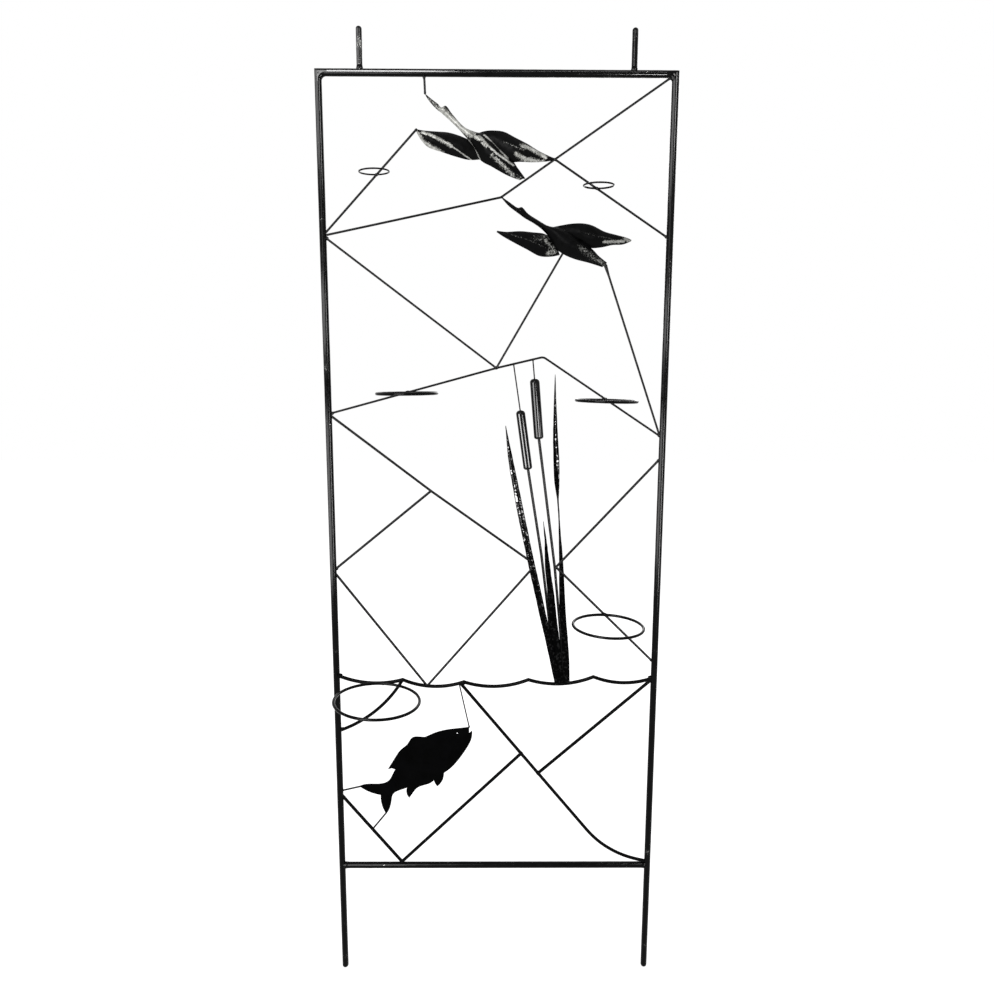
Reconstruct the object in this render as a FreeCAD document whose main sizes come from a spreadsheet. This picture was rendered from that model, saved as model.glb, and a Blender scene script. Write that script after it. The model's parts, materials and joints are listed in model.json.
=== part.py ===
import FreeCAD, Part
import Sketcher
import math
import os

Vector = FreeCAD.Vector

# Driving sizes in millimetres, with angles in degrees
sizes = {
    # Frame
    "post_spacing": 618,
    "panel_height": 1495,
    "bottom_rail_height": 60,
    "stake_depth": 170,
    "bar_diameter": 12,
    "prong_spacing": 474,
    "prong_diameter": 9.4,
    "prong_height": 68,
    "prong_weld_clearance": 7,
    # Bars and wires inside the frame
    "rod_diameter": 6,
    "net_rod_diameter": 4,
    "wire_diameter": 2.4,
    "wave_sag": 11.4,
    "sweep_bend": 190,
    "slope_bend": 60,
    "peak_bend": 12,
    "corner_bend": 3,
    # Pot and candle rings, measured across the centre of the wire
    "ring_wire_diameter": 4.8,
    "candle_wire_diameter": 2.6,
    "candle_ring_diameter": 51,
    "mid_ring_diameter": 105.5,
    "low_right_ring_diameter": 127,
    "low_left_ring_diameter": 154,
    "ring_droop": 3.5,
    # Reeds
    "stem_diameter": 4.8,
    "cattail_diameter": 16,
    "cattail_length": 111,
    "cattail_shoulder": 5,
    "cattail_dome": 6.6,
    "left_cattail_tilt": -8.1,
    "right_cattail_tilt": -4.85,
    "blade_thickness": 3,
    "left_blade_height": 502,
    "left_blade_lean": -110,
    "left_blade_width": 12,
    "middle_blade_height": 322,
    "middle_blade_lean": -38,
    "middle_blade_width": 14,
    "right_blade_height": 596,
    "right_blade_lean": -28,
    "right_blade_width": 12.5,
    # Fish
    "fish_length_share": 0.36246,
    "fish_length": "=post_spacing * fish_length_share",
    "fish_height": 184,
    "fish_thickness": 3,
    "fish_eye": 4,
    # Birds
    "bird_sheet": 1.6,
    "upper_bird_span_share": 0.3932,
    "upper_bird_span": "=post_spacing * upper_bird_span_share",
    "upper_bird_height": 142,
    "lower_bird_span_share": 0.38673,
    "lower_bird_span": "=post_spacing * lower_bird_span_share",
    "lower_bird_height": 120,
    "bird_body_crown": 13,
    "bird_wing_crown": 9,
    # Welds
    "frame_weld_diameter": 15,
    "prong_weld_diameter": 12.6,
    "rod_weld_diameter": 8.2,
    "net_weld_diameter": 6.2,
    "ring_weld_diameter": 7.4,
    # How far a cutting tool runs past the piece that it cuts
    "overrun": 3,
}

doc = FreeCAD.newDocument("GardenScreen")
sheet = doc.addObject("Spreadsheet::Sheet", "Sizes")
for row, (alias, number) in enumerate(sizes.items(), start=1):
    sheet.set(f"A{row}", alias)
    sheet.setAlias(f"B{row}", alias)
    sheet.set(f"B{row}", str(number))
doc.recompute()


def size(alias):
    return float(getattr(sheet, alias))


# Places on the panel: x as a share of half the post spacing, z as a share of the panel height
panel_shares = {
    "LeftFoot": (-1, 0),
    "RightFoot": (1, 0),
    "LeftCorner": (-1, 1),
    "RightCorner": (1, 1),
    "LeftHigh": (-1, 0.819),
    "LeftMid": (-1, 0.608),
    "LeftLow": (-1, 0.4095),
    "RightHigh": (1, 0.8165),
    "RightMid": (1, 0.5795),
    "RightUpperV": (1, 0.556),
    "RightLowerV": (1, 0.2865),
    "Heart": (0, 0.6645),
    "Peak": (0.278, 0.678),
    "CloudBend": (0.024, 0.8635),
    "SlopeBend": (-0.394, 0.5125),
    "BeakTop": (-0.408, 1),
    "UpperBeak": (-0.404, 0.978),
    "LowerBeak": (0.026, 0.8635),
    "WaveLeft": (-1, 0.2705),
    "WaveTwo": (-0.585, 0.264),
    "WaveThree": (-0.2, 0.261),
    "WaveFour": (0.207, 0.264),
    "WaveFive": (0.618, 0.268),
    "WaveRight": (1, 0.267),
    "ShoreMiddle": (-0.764, 0.2204),
    "ShoreEnd": (-1, 0.193),
    "SweepTop": (-0.222, 0.2595),
    "SweepBend": (0.731, 0.0177),
    "SweepEnd": (1, 0.005),
    "CornerTop": (-1, 0.1047),
    "CornerFoot": (-0.59, 0),
    "FishMouth": (-0.1667, 0.1985),
    "FishWireTop": (-0.23, 0.2595),
    "FishWirePost": (-1, 0.108),
    "LeftHeadFoot": (0.1935, 0.5397),
    "LeftStemKnee": (0.28, 0.431),
    "LeftStemLow": (0.331, 0.348),
    "RightHeadFoot": (0.257, 0.5778),
    "RightStemNeck": (0.274, 0.5517),
    "RightStemKnee": (0.363, 0.4148),
    "RightStemLow": (0.413, 0.311),
}

# Joints that lie along another bar, as a share of the way from one knot to the next
joint_shares = {
    "WingRodStart": ("CloudBend", "RightCorner", 0.3135),
    "TailRodEnd": ("Peak", "RightMid", 0.975),
    "SweepRising": ("SweepTop", "SweepBend", 0.406),
    "SweepRight": ("SweepTop", "SweepBend", 0.522),
    "RisingFoot": ("CornerTop", "CornerFoot", 0.953),
    "KiteTop": ("SlopeBend", "LeftLow", 0.004),
    "FishLowJoint": ("CornerTop", "CornerFoot", 0.496),
    "LeftTipTop": ("Heart", "Peak", 0.367),
    "RightTipTop": ("Heart", "Peak", 0.777),
}

# Knots on a bird, as shares of its span and height from the beak
bird_knot_shares = {
    "LeftWingTip": ("UpperBeak", "upper", -0.066, -0.417),
    "LowerBelly": ("LowerBeak", "lower", 0.462, -0.79),
    "LowerTail": ("LowerBeak", "lower", 0.782, -0.955),
}

# Knots on the fish, as shares of its length and height from the mouth
fish_knot_shares = {
    "FishTailTip": (-0.966, -0.682),
    "FishTailFoot": (-0.743, -0.99),
    "FishJaw": (-0.006, -0.01),
    "FishEye": (-0.105, -0.07),
}

# The left blade's edge where two rods end, in shares of its height, lean and width
blade_knot_shares = {
    "BladeHigh": (0.49, 0.545, -0.25),
    "BladeLow": (0.458, 0.51, -0.25),
}

# Seats on the scallops, as shares of the way along and of the sag
kite_foot_share, kite_sag_share = 0.4, 0.96
ring_seat_share, ring_sag_share = 0.71, 0.81

# Feet of the stems on the scallop, in stem diameters from its lowest point
left_stem_foot_share, right_stem_foot_share = -1.6, 1.6
# How far behind the panel the left stem stands halfway, as a share of its foot's setback
stem_setback_share = 0.55


def knot(name, x, z, y="0 mm"):
    point = doc.addObject("Part::Vertex", name)
    point.setExpression("X", x)
    point.setExpression("Y", y)
    point.setExpression("Z", z)
    return point


def between(name, start, end, share):
    """A point at a share of the way from one knot to another."""
    for_axis = {axis: f"{start}.{axis} + ({end}.{axis} - {start}.{axis}) * {share}" for axis in "XYZ"}
    return knot(name, for_axis["X"], for_axis["Z"], for_axis["Y"])


for name, (across_share, up_share) in panel_shares.items():
    knot(
        name,
        f"Sizes.post_spacing / 2 * {across_share} * 1 mm",
        f"(Sizes.bottom_rail_height + Sizes.panel_height * {up_share}) * 1 mm",
    )
for name, (start, end, share) in joint_shares.items():
    between(name, start, end, share)
for name, (beak, bird, across_share, up_share) in bird_knot_shares.items():
    across = f"{beak}.X + Sizes.{bird}_bird_span * 1 mm * {across_share}"
    knot(name, across, f"{beak}.Z + Sizes.{bird}_bird_height * 1 mm * {up_share}")
for name, (across_share, up_share) in fish_knot_shares.items():
    across = f"FishMouth.X + Sizes.fish_length * 1 mm * {across_share}"
    knot(name, across, f"FishMouth.Z + Sizes.fish_height * 1 mm * {up_share}")

# Points on the scallops
sag = "Sizes.wave_sag * 1 mm"
knot(
    "KiteFoot",
    f"WaveTwo.X + (WaveThree.X - WaveTwo.X) * {kite_foot_share}",
    f"WaveTwo.Z + (WaveThree.Z - WaveTwo.Z) * {kite_foot_share} - {sag} * {kite_sag_share}",
)
knot(
    "FirstScallopSeat",
    f"WaveLeft.X + (WaveTwo.X - WaveLeft.X) * {ring_seat_share}",
    f"WaveLeft.Z + (WaveTwo.Z - WaveLeft.Z) * {ring_seat_share} - {sag} * {ring_sag_share}",
)
knot("ReedFoot", "(WaveFour.X + WaveFive.X) / 2", f"(WaveFour.Z + WaveFive.Z) / 2 - {sag}")
for name, (up_share, lean_share, side_share) in blade_knot_shares.items():
    lean = f"Sizes.left_blade_lean * {lean_share} + Sizes.left_blade_width * {side_share}"
    knot(name, f"ReedFoot.X + ({lean}) * 1 mm", f"ReedFoot.Z + Sizes.left_blade_height * {up_share} * 1 mm")

# The right stem's foot stands on the scallop, the left one laps behind it
stem_step = "ReedFoot.X + Sizes.stem_diameter * 1 mm"
setback = "(Sizes.rod_diameter + Sizes.stem_diameter) / 2 * 1 mm"
knot("RightStemFoot", f"{stem_step} * {right_stem_foot_share}", "ReedFoot.Z")
knot("LeftStemFoot", f"{stem_step} * {left_stem_foot_share}", "ReedFoot.Z", setback)
doc.getObject("LeftStemLow").setExpression("Y", f"LeftStemFoot.Y * {stem_setback_share}")
knot("RightVPoint", "RightStemKnee.X + Sizes.stem_diameter / 2 * 1 mm", "RightStemKnee.Z")
doc.recompute()


def place_of(name):
    point = doc.getObject(name)
    return Vector(point.X.Value, point.Y.Value, point.Z.Value)


def straight(name, start, end, diameter):
    """A round bar from one knot to another."""
    bar = doc.addObject("Part::Cylinder", name)
    run = [f"{end}.{axis} - {start}.{axis}" for axis in "XYZ"]
    bar.setExpression("Radius", f"Sizes.{diameter} / 2")
    bar.setExpression("Height", f"sqrt(({run[0]})^2 + ({run[1]})^2 + ({run[2]})^2)")
    turn = f"create(<<rotation>>; create(<<vector>>; 0; 1; 0); atan2({run[0]}; {run[2]}))"
    base = f"create(<<vector>>; {start}.X; {start}.Y; {start}.Z)"
    bar.setExpression("Placement", f"create(<<placement>>; {base}; {turn})")
    return bar


def ball(name, centre, diameter):
    """A ball on a knot, turned so that its seam faces away from the bars in the panel."""
    sphere = doc.addObject("Part::Sphere", name)
    sphere.setExpression("Radius", f"Sizes.{diameter} / 2")
    base = f"create(<<vector>>; {centre}.X; {centre}.Y; {centre}.Z)"
    turn = "create(<<rotation>>; create(<<vector>>; 0; 0; 1); 90)"
    sphere.setExpression("Placement", f"create(<<placement>>; {base}; {turn})")
    return sphere


def joined(name, pieces):
    """One solid of several, with the seams between them kept."""
    whole = doc.addObject("Part::MultiFuse", name)
    whole.Shapes = pieces
    whole.Refine = False
    return whole


def bent_path(name, corners, radii):
    """Straight runs joined by tangent arcs, one radius for each inner corner."""
    edges = []
    start = corners[0]
    for before, corner, after, radius in zip(corners, corners[1:], corners[2:], radii):
        back = (before - corner).normalize()
        ahead = (after - corner).normalize()
        half_turn = (math.pi - back.getAngle(ahead)) / 2
        reach = radius * math.tan(half_turn)
        inward = radius / math.cos(half_turn) - radius
        arc_start = corner + back * reach
        arc_end = corner + ahead * reach
        arc_middle = corner + (back + ahead).normalize() * inward
        edges.append(Part.LineSegment(start, arc_start).toShape())
        edges.append(Part.Arc(arc_start, arc_middle, arc_end).toShape())
        start = arc_end
    edges.append(Part.LineSegment(start, corners[-1]).toShape())
    path = doc.addObject("Part::Feature", name)
    path.Shape = Part.Wire(edges)
    return path


def arc_path(name, start, middle, end):
    path = doc.addObject("Part::Feature", name)
    path.Shape = Part.Wire([Part.Arc(start, middle, end).toShape()])
    return path


def swept(name, path, diameter):
    """A round bar along a path."""
    first = path.Shape.Edges[0]
    heading = first.tangentAt(first.FirstParameter)
    ring = doc.addObject("Part::Circle", name + "Section")
    ring.setExpression("Radius", f"Sizes.{diameter} / 2")
    ring.Placement = FreeCAD.Placement(path.Shape.Vertexes[0].Point, FreeCAD.Rotation(Vector(0, 0, 1), heading))
    bar = doc.addObject("Part::Sweep", name)
    bar.Sections = [ring]
    bar.Spine = (path, [f"Edge{number + 1}" for number in range(len(path.Shape.Edges))])
    bar.Solid = True
    bar.Frenet = False
    return bar


nodes = []


def node(label, shape, *tools, keep_seams=False):
    """Cut a piece by what it meets and give the result its own label."""
    for number, tool in enumerate(tools):
        cut = doc.addObject("Part::Cut", f"{label}_cut{number + 1}")
        cut.Base = shape
        cut.Tool = tool
        cut.Refine = not keep_seams
        shape = cut
    shape.Label = label
    nodes.append(shape)
    return shape


# Frame: two posts with rounded stake ends, a top rail mitred to them and a bottom rail
def mitre_block(name, corner, side):
    """A block whose lower face is the mitre plane through a top corner."""
    block = doc.addObject("Part::Box", name)
    block.setExpression("Length", "2 * Sizes.post_spacing")
    block.setExpression("Width", "2 * Sizes.bar_diameter")
    block.setExpression("Height", "2 * Sizes.post_spacing")
    slant = "Sizes.post_spacing * cos(45 deg) * 1 mm"
    base = f"create(<<vector>>; {corner}.X - {slant}; -Sizes.bar_diameter; {corner}.Z + {slant} * {side})"
    turn = f"create(<<rotation>>; create(<<vector>>; 0; 1; 0); {side} * 45)"
    block.setExpression("Placement", f"create(<<placement>>; {base}; {turn})")
    return block


left_mitre = mitre_block("LeftMitre", "LeftCorner", 1)
right_mitre = mitre_block("RightMitre", "RightCorner", -1)
for side, corner in (("Left", "LeftCorner"), ("Right", "RightCorner")):
    radius = "Sizes.bar_diameter / 2 * 1 mm"
    knot(f"{side}Tip", f"{corner}.X", f"{radius} - Sizes.stake_depth * 1 mm")
    knot(f"{side}Ground", f"{corner}.X", "0 mm")
    knot(f"{side}Top", f"{corner}.X", f"{corner}.Z + {radius}")
knot("RailStart", "LeftCorner.X - Sizes.bar_diameter / 2 * 1 mm", "LeftCorner.Z")
knot("RailEnd", "RightCorner.X + Sizes.bar_diameter / 2 * 1 mm", "RightCorner.Z")
doc.recompute()

posts = {}
for side, mitre in (("Left", left_mitre), ("Right", right_mitre)):
    stake = straight(f"{side}Stake", f"{side}Tip", f"{side}Ground", "bar_diameter")
    tip = ball(f"{side}Round", f"{side}Tip", "bar_diameter")
    bar = straight(f"{side}Bar", f"{side}Ground", f"{side}Top", "bar_diameter")
    whole = joined(f"{side}Whole", [stake, tip, bar])
    posts[side] = node(f"{side.lower()}_post", whole, mitre, keep_seams=True)
left_post, right_post = posts["Left"], posts["Right"]

top_bar = straight("TopBar", "RailStart", "RailEnd", "bar_diameter")
top_common = doc.addObject("Part::MultiCommon", "TopRail")
top_common.Shapes = [top_bar, left_mitre, right_mitre]
top_rail = node("top_rail", top_common)
bottom_rail = node("bottom_rail", straight("BottomBar", "LeftFoot", "RightFoot", "bar_diameter"), left_post, right_post)

prongs = []
for side, sign in (("left", -1), ("right", 1)):
    foot = knot(f"{side}_prong_foot", f"{sign} * Sizes.prong_spacing / 2 * 1 mm", "LeftCorner.Z")
    reach = "(Sizes.bar_diameter / 2 + Sizes.prong_height - Sizes.prong_diameter / 2) * 1 mm"
    top = knot(f"{side}_prong_top", f"{foot.Name}.X", f"{foot.Name}.Z + {reach}")
    rise = "(Sizes.bar_diameter / 2 + Sizes.prong_weld_clearance) * 1 mm"
    clear = knot(f"{side}_prong_clear", f"{foot.Name}.X", f"{foot.Name}.Z + {rise}")
    shaft = straight(f"{side}_prong_shaft", clear.Name, top.Name, "prong_diameter")
    dome = ball(f"{side}_prong_dome", top.Name, "prong_diameter")
    root = straight(f"{side}_prong_root", foot.Name, clear.Name, "prong_diameter")
    whole = joined(f"{side}_prong_whole", [shaft, dome, root])
    prongs.append(node(f"{side}_prong", whole, top_rail, keep_seams=True))

# Wave rail: five scallops from post to post with rounded cusps
cusps = ["WaveLeft", "WaveTwo", "WaveThree", "WaveFour", "WaveFive", "WaveRight"]
scallops = []
for number, (start, end) in enumerate(zip(cusps, cusps[1:]), start=1):
    low = (place_of(start) + place_of(end)) / 2 - Vector(0, 0, size("wave_sag"))
    path = arc_path(f"ScallopPath{number}", place_of(start), low, place_of(end))
    scallops.append(swept(f"Scallop{number}", path, "rod_diameter"))
cusp_balls = [ball(f"Cusp{number}", name, "rod_diameter") for number, name in enumerate(cusps[1:-1], start=2)]
wave_rail = node("wave_rail", joined("Wave", scallops + cusp_balls), left_post, right_post)

# Heavier rods below the wave rail
shore_path = arc_path("ShorePath", place_of("WaveTwo"), place_of("ShoreMiddle"), place_of("ShoreEnd"))
shore_rod = node("shore_rod", swept("Shore", shore_path, "rod_diameter"), left_post, wave_rail)
sweep_corners = [place_of(name) for name in ("SweepTop", "SweepBend", "SweepEnd")]
sweep_path = bent_path("SweepPath", sweep_corners, [size("sweep_bend")])
long_diagonal = node("long_diagonal", swept("Sweep", sweep_path, "rod_diameter"), wave_rail, right_post, bottom_rail)
right_diagonal = node(
    "right_diagonal",
    straight("RightDiagonal", "WaveRight", "SweepRight", "rod_diameter"),
    wave_rail,
    right_post,
    long_diagonal,
)
corner_rod = node(
    "left_corner_rod",
    straight("CornerRod", "CornerTop", "CornerFoot", "rod_diameter"),
    left_post,
    bottom_rail,
)
rising_rod = node(
    "rising_rod",
    straight("RisingRod", "RisingFoot", "SweepRising", "rod_diameter"),
    corner_rod,
    bottom_rail,
    long_diagonal,
)

# Thin rods of the net above the wave rail
ridge_corners = [place_of(name) for name in ("LeftMid", "Heart", "Peak", "RightMid")]
ridge_path = bent_path("RidgePath", ridge_corners, [size("slope_bend"), size("peak_bend")])
ridge_rod = node("ridge_rod", swept("Ridge", ridge_path, "net_rod_diameter"), left_post, right_post)
cloud_corners = [place_of(name) for name in ("LeftHigh", "CloudBend", "RightCorner")]
cloud_path = bent_path("CloudPath", cloud_corners, [size("peak_bend")])
cloud_rod = node(
    "cloud_rod",
    swept("Cloud", cloud_path, "net_rod_diameter"),
    left_post,
    right_post,
    top_rail,
)


def net_rod(label, start, end, *tools):
    return node(label, straight(label + "_bar", start, end, "net_rod_diameter"), *tools)


valley_rod = net_rod("valley_rod", "LeftHigh", "Heart", left_post, cloud_rod, ridge_rod)
left_wing_rod = net_rod("left_wing_rod", "LeftHigh", "LeftWingTip", left_post, cloud_rod, valley_rod)
right_wing_rod = net_rod("right_wing_rod", "WingRodStart", "RightHigh", cloud_rod, right_post)
beak_rod = net_rod("beak_rod", "BeakTop", "UpperBeak", top_rail)
belly_rod = net_rod("belly_rod", "Heart", "LowerBelly", ridge_rod, valley_rod)
tail_rod = net_rod("tail_rod", "LowerTail", "TailRodEnd", ridge_rod, right_post)
slope_corners = [place_of(name) for name in ("LeftMid", "SlopeBend", "BladeHigh")]
slope_path = bent_path("SlopePath", slope_corners, [size("slope_bend")])
left_slope_rod = node("left_slope_rod", swept("Slope", slope_path, "net_rod_diameter"), left_post, ridge_rod)
kite_upper_rod = net_rod("kite_upper_rod", "KiteTop", "LeftLow", left_slope_rod, left_post)
kite_lower_rod = net_rod("kite_lower_rod", "LeftLow", "KiteFoot", left_post, kite_upper_rod, wave_rail)
kite_rise_rod = net_rod("kite_rise_rod", "KiteFoot", "BladeLow", wave_rail, kite_lower_rod)


# Reeds: two stems with cattail heads and three hammered blades
def cattail(label, foot, tilt):
    head = doc.addObject("PartDesign::Body", label + "_body")
    sketch = head.newObject("Sketcher::SketchObject", label + "_round")
    base_plane = [plane for plane in head.Origin.OriginFeatures if plane.Role == "XY_Plane"][0]
    sketch.AttachmentSupport = [(base_plane, "")]
    sketch.MapMode = "FlatFace"
    circle = sketch.addGeometry(Part.Circle(Vector(), Vector(0, 0, 1), size("cattail_diameter") / 2))
    sketch.addConstraint(Sketcher.Constraint("Coincident", circle, 3, -1, 1))
    sketch.addConstraint(Sketcher.Constraint("Diameter", circle, size("cattail_diameter")))
    sketch.setExpression("Constraints[1]", "Sizes.cattail_diameter * 1 mm")
    pad = head.newObject("PartDesign::Pad", label + "_length")
    pad.Profile = sketch
    pad.setExpression("Length", "Sizes.cattail_length * 1 mm")
    doc.recompute()
    rings = [f"Edge{number + 1}" for number, edge in enumerate(pad.Shape.Edges) if edge.isClosed()]
    rings.sort(key=lambda name: pad.Shape.getElement(name).CenterOfMass.z)
    shoulder = head.newObject("PartDesign::Fillet", label + "_shoulder")
    shoulder.Base = (pad, [rings[0]])
    shoulder.setExpression("Radius", "Sizes.cattail_shoulder * 1 mm")
    doc.recompute()
    rings = [f"Edge{number + 1}" for number, edge in enumerate(shoulder.Shape.Edges) if edge.isClosed()]
    rings.sort(key=lambda name: shoulder.Shape.getElement(name).CenterOfMass.z)
    dome = head.newObject("PartDesign::Fillet", label + "_dome")
    dome.Base = (shoulder, [rings[-1]])
    dome.setExpression("Radius", "Sizes.cattail_dome * 1 mm")
    turn = f"create(<<rotation>>; create(<<vector>>; 0; 1; 0); Sizes.{tilt})"
    base = f"create(<<vector>>; {foot}.X; {foot}.Y; {foot}.Z)"
    head.setExpression("Placement", f"create(<<placement>>; {base}; {turn})")
    head.Tip = dome
    doc.recompute()
    return node(label, head)


heads = {}
tip_wires = {}
for side in ("left", "right"):
    title = side.capitalize()
    tilt = f"{side}_cattail_tilt"
    heads[side] = cattail(f"{side}_cattail_head", f"{title}HeadFoot", tilt)
    reach = "Sizes.cattail_length * 1 mm"
    knot(
        f"{title}HeadTop",
        f"{title}HeadFoot.X + {reach} * sin(Sizes.{tilt} * 1 deg)",
        f"{title}HeadFoot.Z + {reach} * cos(Sizes.{tilt} * 1 deg)",
    )
    doc.recompute()
    wire = straight(f"{title}TipWire", f"{title}HeadTop", f"{title}TipTop", "wire_diameter")
    tip_wires[side] = node(f"{side}_tip_wire", wire, ridge_rod, heads[side])


def stem(label, names, *tools):
    corners = [place_of(name) for name in names]
    path = bent_path(label + "_path", corners, [size("slope_bend")] * (len(corners) - 2))
    return node(label, swept(label + "_bar", path, "stem_diameter"), *tools)


right_stem = stem(
    "right_stem",
    ("RightHeadFoot", "RightStemNeck", "RightStemKnee", "RightStemLow", "RightStemFoot"),
    wave_rail,
    heads["right"],
)
left_stem = stem(
    "left_stem",
    ("LeftHeadFoot", "LeftStemKnee", "LeftStemLow", "LeftStemFoot"),
    wave_rail,
    heads["left"],
)
v_corners = [place_of(name) for name in ("RightUpperV", "RightVPoint", "RightLowerV")]
v_path = bent_path("VPath", v_corners, [size("corner_bend")])
right_v_rod = node("right_v_rod", swept("V", v_path, "net_rod_diameter"), right_post, ridge_rod, right_stem)

# Blades as rows of: height, lean, depth in thicknesses, width, and turn in degrees
left_blade_shares = [
    (0.0, 0.05, -1.4, 0.85, 0),
    (0.18, 0.21, -1.0, 0.97, 0),
    (0.267, 0.3, -0.7, 0.96, 0),
    (0.353, 0.393, -0.35, 0.93, 0),
    (0.44, 0.49, -0.05, 0.92, 0),
    (0.52, 0.575, 0.0, 0.78, 0),
    (0.605, 0.66, 0.0, 0.86, 0),
    (0.672, 0.735, 0.0, 0.94, 0),
    (0.82, 0.865, 0.0, 0.78, 0),
    (0.895, 0.927, 0.0, 0.58, 0),
    (1.0, 1.0, 0.0, 0.08, 0),
]
middle_blade_shares = [
    (0.0, 0.02, 0.0, 0.65, 0),
    (0.145, 0.17, 0.0, 0.93, 0),
    (0.28, 0.32, 0.0, 1.0, 0),
    (0.415, 0.455, 0.0, 0.95, 0),
    (0.55, 0.565, 0.0, 0.87, 0),
    (0.683, 0.715, 0.0, 0.72, 0),
    (0.75, 0.775, 0.0, 0.62, 0),
    (0.815, 0.83, 0.0, 0.44, 0),
    (0.88, 0.87, 0.0, 0.29, 0),
    (1.0, 1.0, 0.0, 0.08, 0),
]
right_blade_shares = [
    (0.0, -0.36, -1.4, 0.75, 0),
    (0.078, -0.29, -1.33, 0.9, 0),
    (0.152, -0.19, -0.6, 0.98, 0),
    (0.238, -0.06, 0.83, 0.99, 5),
    (0.341, 0.04, 1.73, 0.86, 15),
    (0.391, 0.08, 1.87, 0.78, 25),
    (0.441, 0.14, 1.8, 0.72, 38),
    (0.49, 0.21, 1.6, 0.66, 55),
    (0.565, 0.31, 1.33, 0.64, 80),
    (0.614, 0.4, 1.0, 0.68, 108),
    (0.663, 0.47, 0.67, 0.87, 145),
    (0.735, 0.54, 0.33, 0.88, 170),
    (0.827, 0.635, 0.17, 0.67, 180),
    (0.928, 0.685, 0.0, 0.32, 180),
    (1.0, 0.7, 0.0, 0.08, 180),
]


def lens(centre, width, thickness, turn):
    """A flat section with two curved faces and sharp edges, turned about the upright."""
    across = Vector(math.cos(turn), math.sin(turn), 0) * (width / 2)
    through = Vector(-math.sin(turn), math.cos(turn), 0) * (thickness / 2)
    front = Part.Arc(centre - across, centre - through, centre + across).toShape()
    back = Part.Arc(centre + across, centre + through, centre - across).toShape()
    return Part.Wire([front, back])


def blade(name, rows, foot, height, lean, width):
    sections = []
    for up_share, lean_share, depth_share, width_share, turn in rows:
        sideways = lean * lean_share
        depth = size("blade_thickness") * depth_share
        centre = foot + Vector(sideways, depth, height * up_share)
        thickness = size("blade_thickness") * math.sqrt(width_share)
        sections.append(lens(centre, width * width_share, thickness, math.radians(turn)))
    leaf = doc.addObject("Part::Feature", name)
    leaf.Shape = Part.makeLoft(sections, True, True)
    return leaf


reed_foot = place_of("ReedFoot")
left_leaf = blade(
    "LeftLeaf",
    left_blade_shares,
    reed_foot,
    size("left_blade_height"),
    size("left_blade_lean"),
    size("left_blade_width"),
)
middle_leaf = blade(
    "MiddleLeaf",
    middle_blade_shares,
    reed_foot,
    size("middle_blade_height"),
    size("middle_blade_lean"),
    size("middle_blade_width"),
)
right_leaf = blade(
    "RightLeaf",
    right_blade_shares,
    reed_foot,
    size("right_blade_height"),
    size("right_blade_lean"),
    size("right_blade_width"),
)
left_blade = node("left_blade", left_leaf, wave_rail, left_slope_rod, kite_rise_rod)
middle_blade = node("middle_blade", middle_leaf, wave_rail, left_blade, left_stem)
right_blade = node("right_blade", right_leaf, wave_rail, right_stem)

# Fish: a flat plate with a drilled eye, hung on three wires
fish_outline_shares = [
    [(0, 0), (-0.135, -0.02), (-0.265, -0.05), (-0.34, -0.085), (-0.39, -0.115)],
    [(-0.39, -0.115), (-0.45, -0.11), (-0.5, -0.12), (-0.545, -0.195), (-0.6, -0.255), (-0.67, -0.38), (-0.72, -0.48)],
    [(-0.72, -0.48), (-0.685, -0.47)],
    [(-0.685, -0.47), (-0.655, -0.485)],
    [(-0.655, -0.485), (-0.68, -0.54), (-0.72, -0.62), (-0.76, -0.645), (-0.9, -0.655), (-0.975, -0.68)],
    [(-0.975, -0.68), (-0.905, -0.735), (-0.79, -0.78)],
    [(-0.79, -0.78), (-0.785, -0.875), (-0.745, -1.0)],
    [(-0.745, -1.0), (-0.715, -0.945), (-0.695, -0.85), (-0.675, -0.765), (-0.62, -0.725), (-0.555, -0.695)],
    [(-0.555, -0.695), (-0.56, -0.75), (-0.535, -0.815)],
    [(-0.535, -0.815), (-0.505, -0.76), (-0.46, -0.695), (-0.36, -0.65), (-0.315, -0.61)],
    [(-0.315, -0.61), (-0.3, -0.655), (-0.285, -0.68)],
    [(-0.285, -0.68), (-0.245, -0.625), (-0.225, -0.525)],
    [(-0.225, -0.525), (-0.145, -0.445), (-0.085, -0.355), (-0.02, -0.235), (0.02, -0.13), (0.025, -0.04)],
    [(0.025, -0.04), (0, -0.07)],
    [(0, -0.07), (0, 0)],
]


def fish_point(share):
    front = -size("fish_thickness") / 2
    return place_of("FishMouth") + Vector(size("fish_length") * share[0], front, size("fish_height") * share[1])


strokes = []
for stroke in fish_outline_shares:
    points = [fish_point(share) for share in stroke]
    if len(points) == 2:
        strokes.append(Part.LineSegment(points[0], points[1]).toShape())
    else:
        curve = Part.BSplineCurve()
        curve.interpolate(points)
        strokes.append(curve.toShape())
fish_outline = doc.addObject("Part::Feature", "FishOutline")
fish_outline.Shape = Part.Face(Part.Wire(strokes))
fish_pad = doc.addObject("Part::Extrusion", "FishPad")
fish_pad.Base = fish_outline
fish_pad.DirMode = "Custom"
fish_pad.Dir = Vector(0, 1, 0)
fish_pad.setExpression("LengthFwd", "Sizes.fish_thickness")
fish_pad.Solid = True
eye_drill = doc.addObject("Part::Cylinder", "EyeDrill")
eye_drill.setExpression("Radius", "Sizes.fish_eye / 2")
eye_drill.setExpression("Height", "Sizes.fish_thickness + 2 * Sizes.overrun")
eye_turn = "create(<<rotation>>; create(<<vector>>; 1; 0; 0); -90)"
eye_base = "create(<<vector>>; FishEye.X; -Sizes.fish_thickness / 2 - Sizes.overrun; FishEye.Z)"
eye_drill.setExpression("Placement", f"create(<<placement>>; {eye_base}; {eye_turn})")
fish_plate = node("fish_plate", fish_pad, eye_drill)
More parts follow.
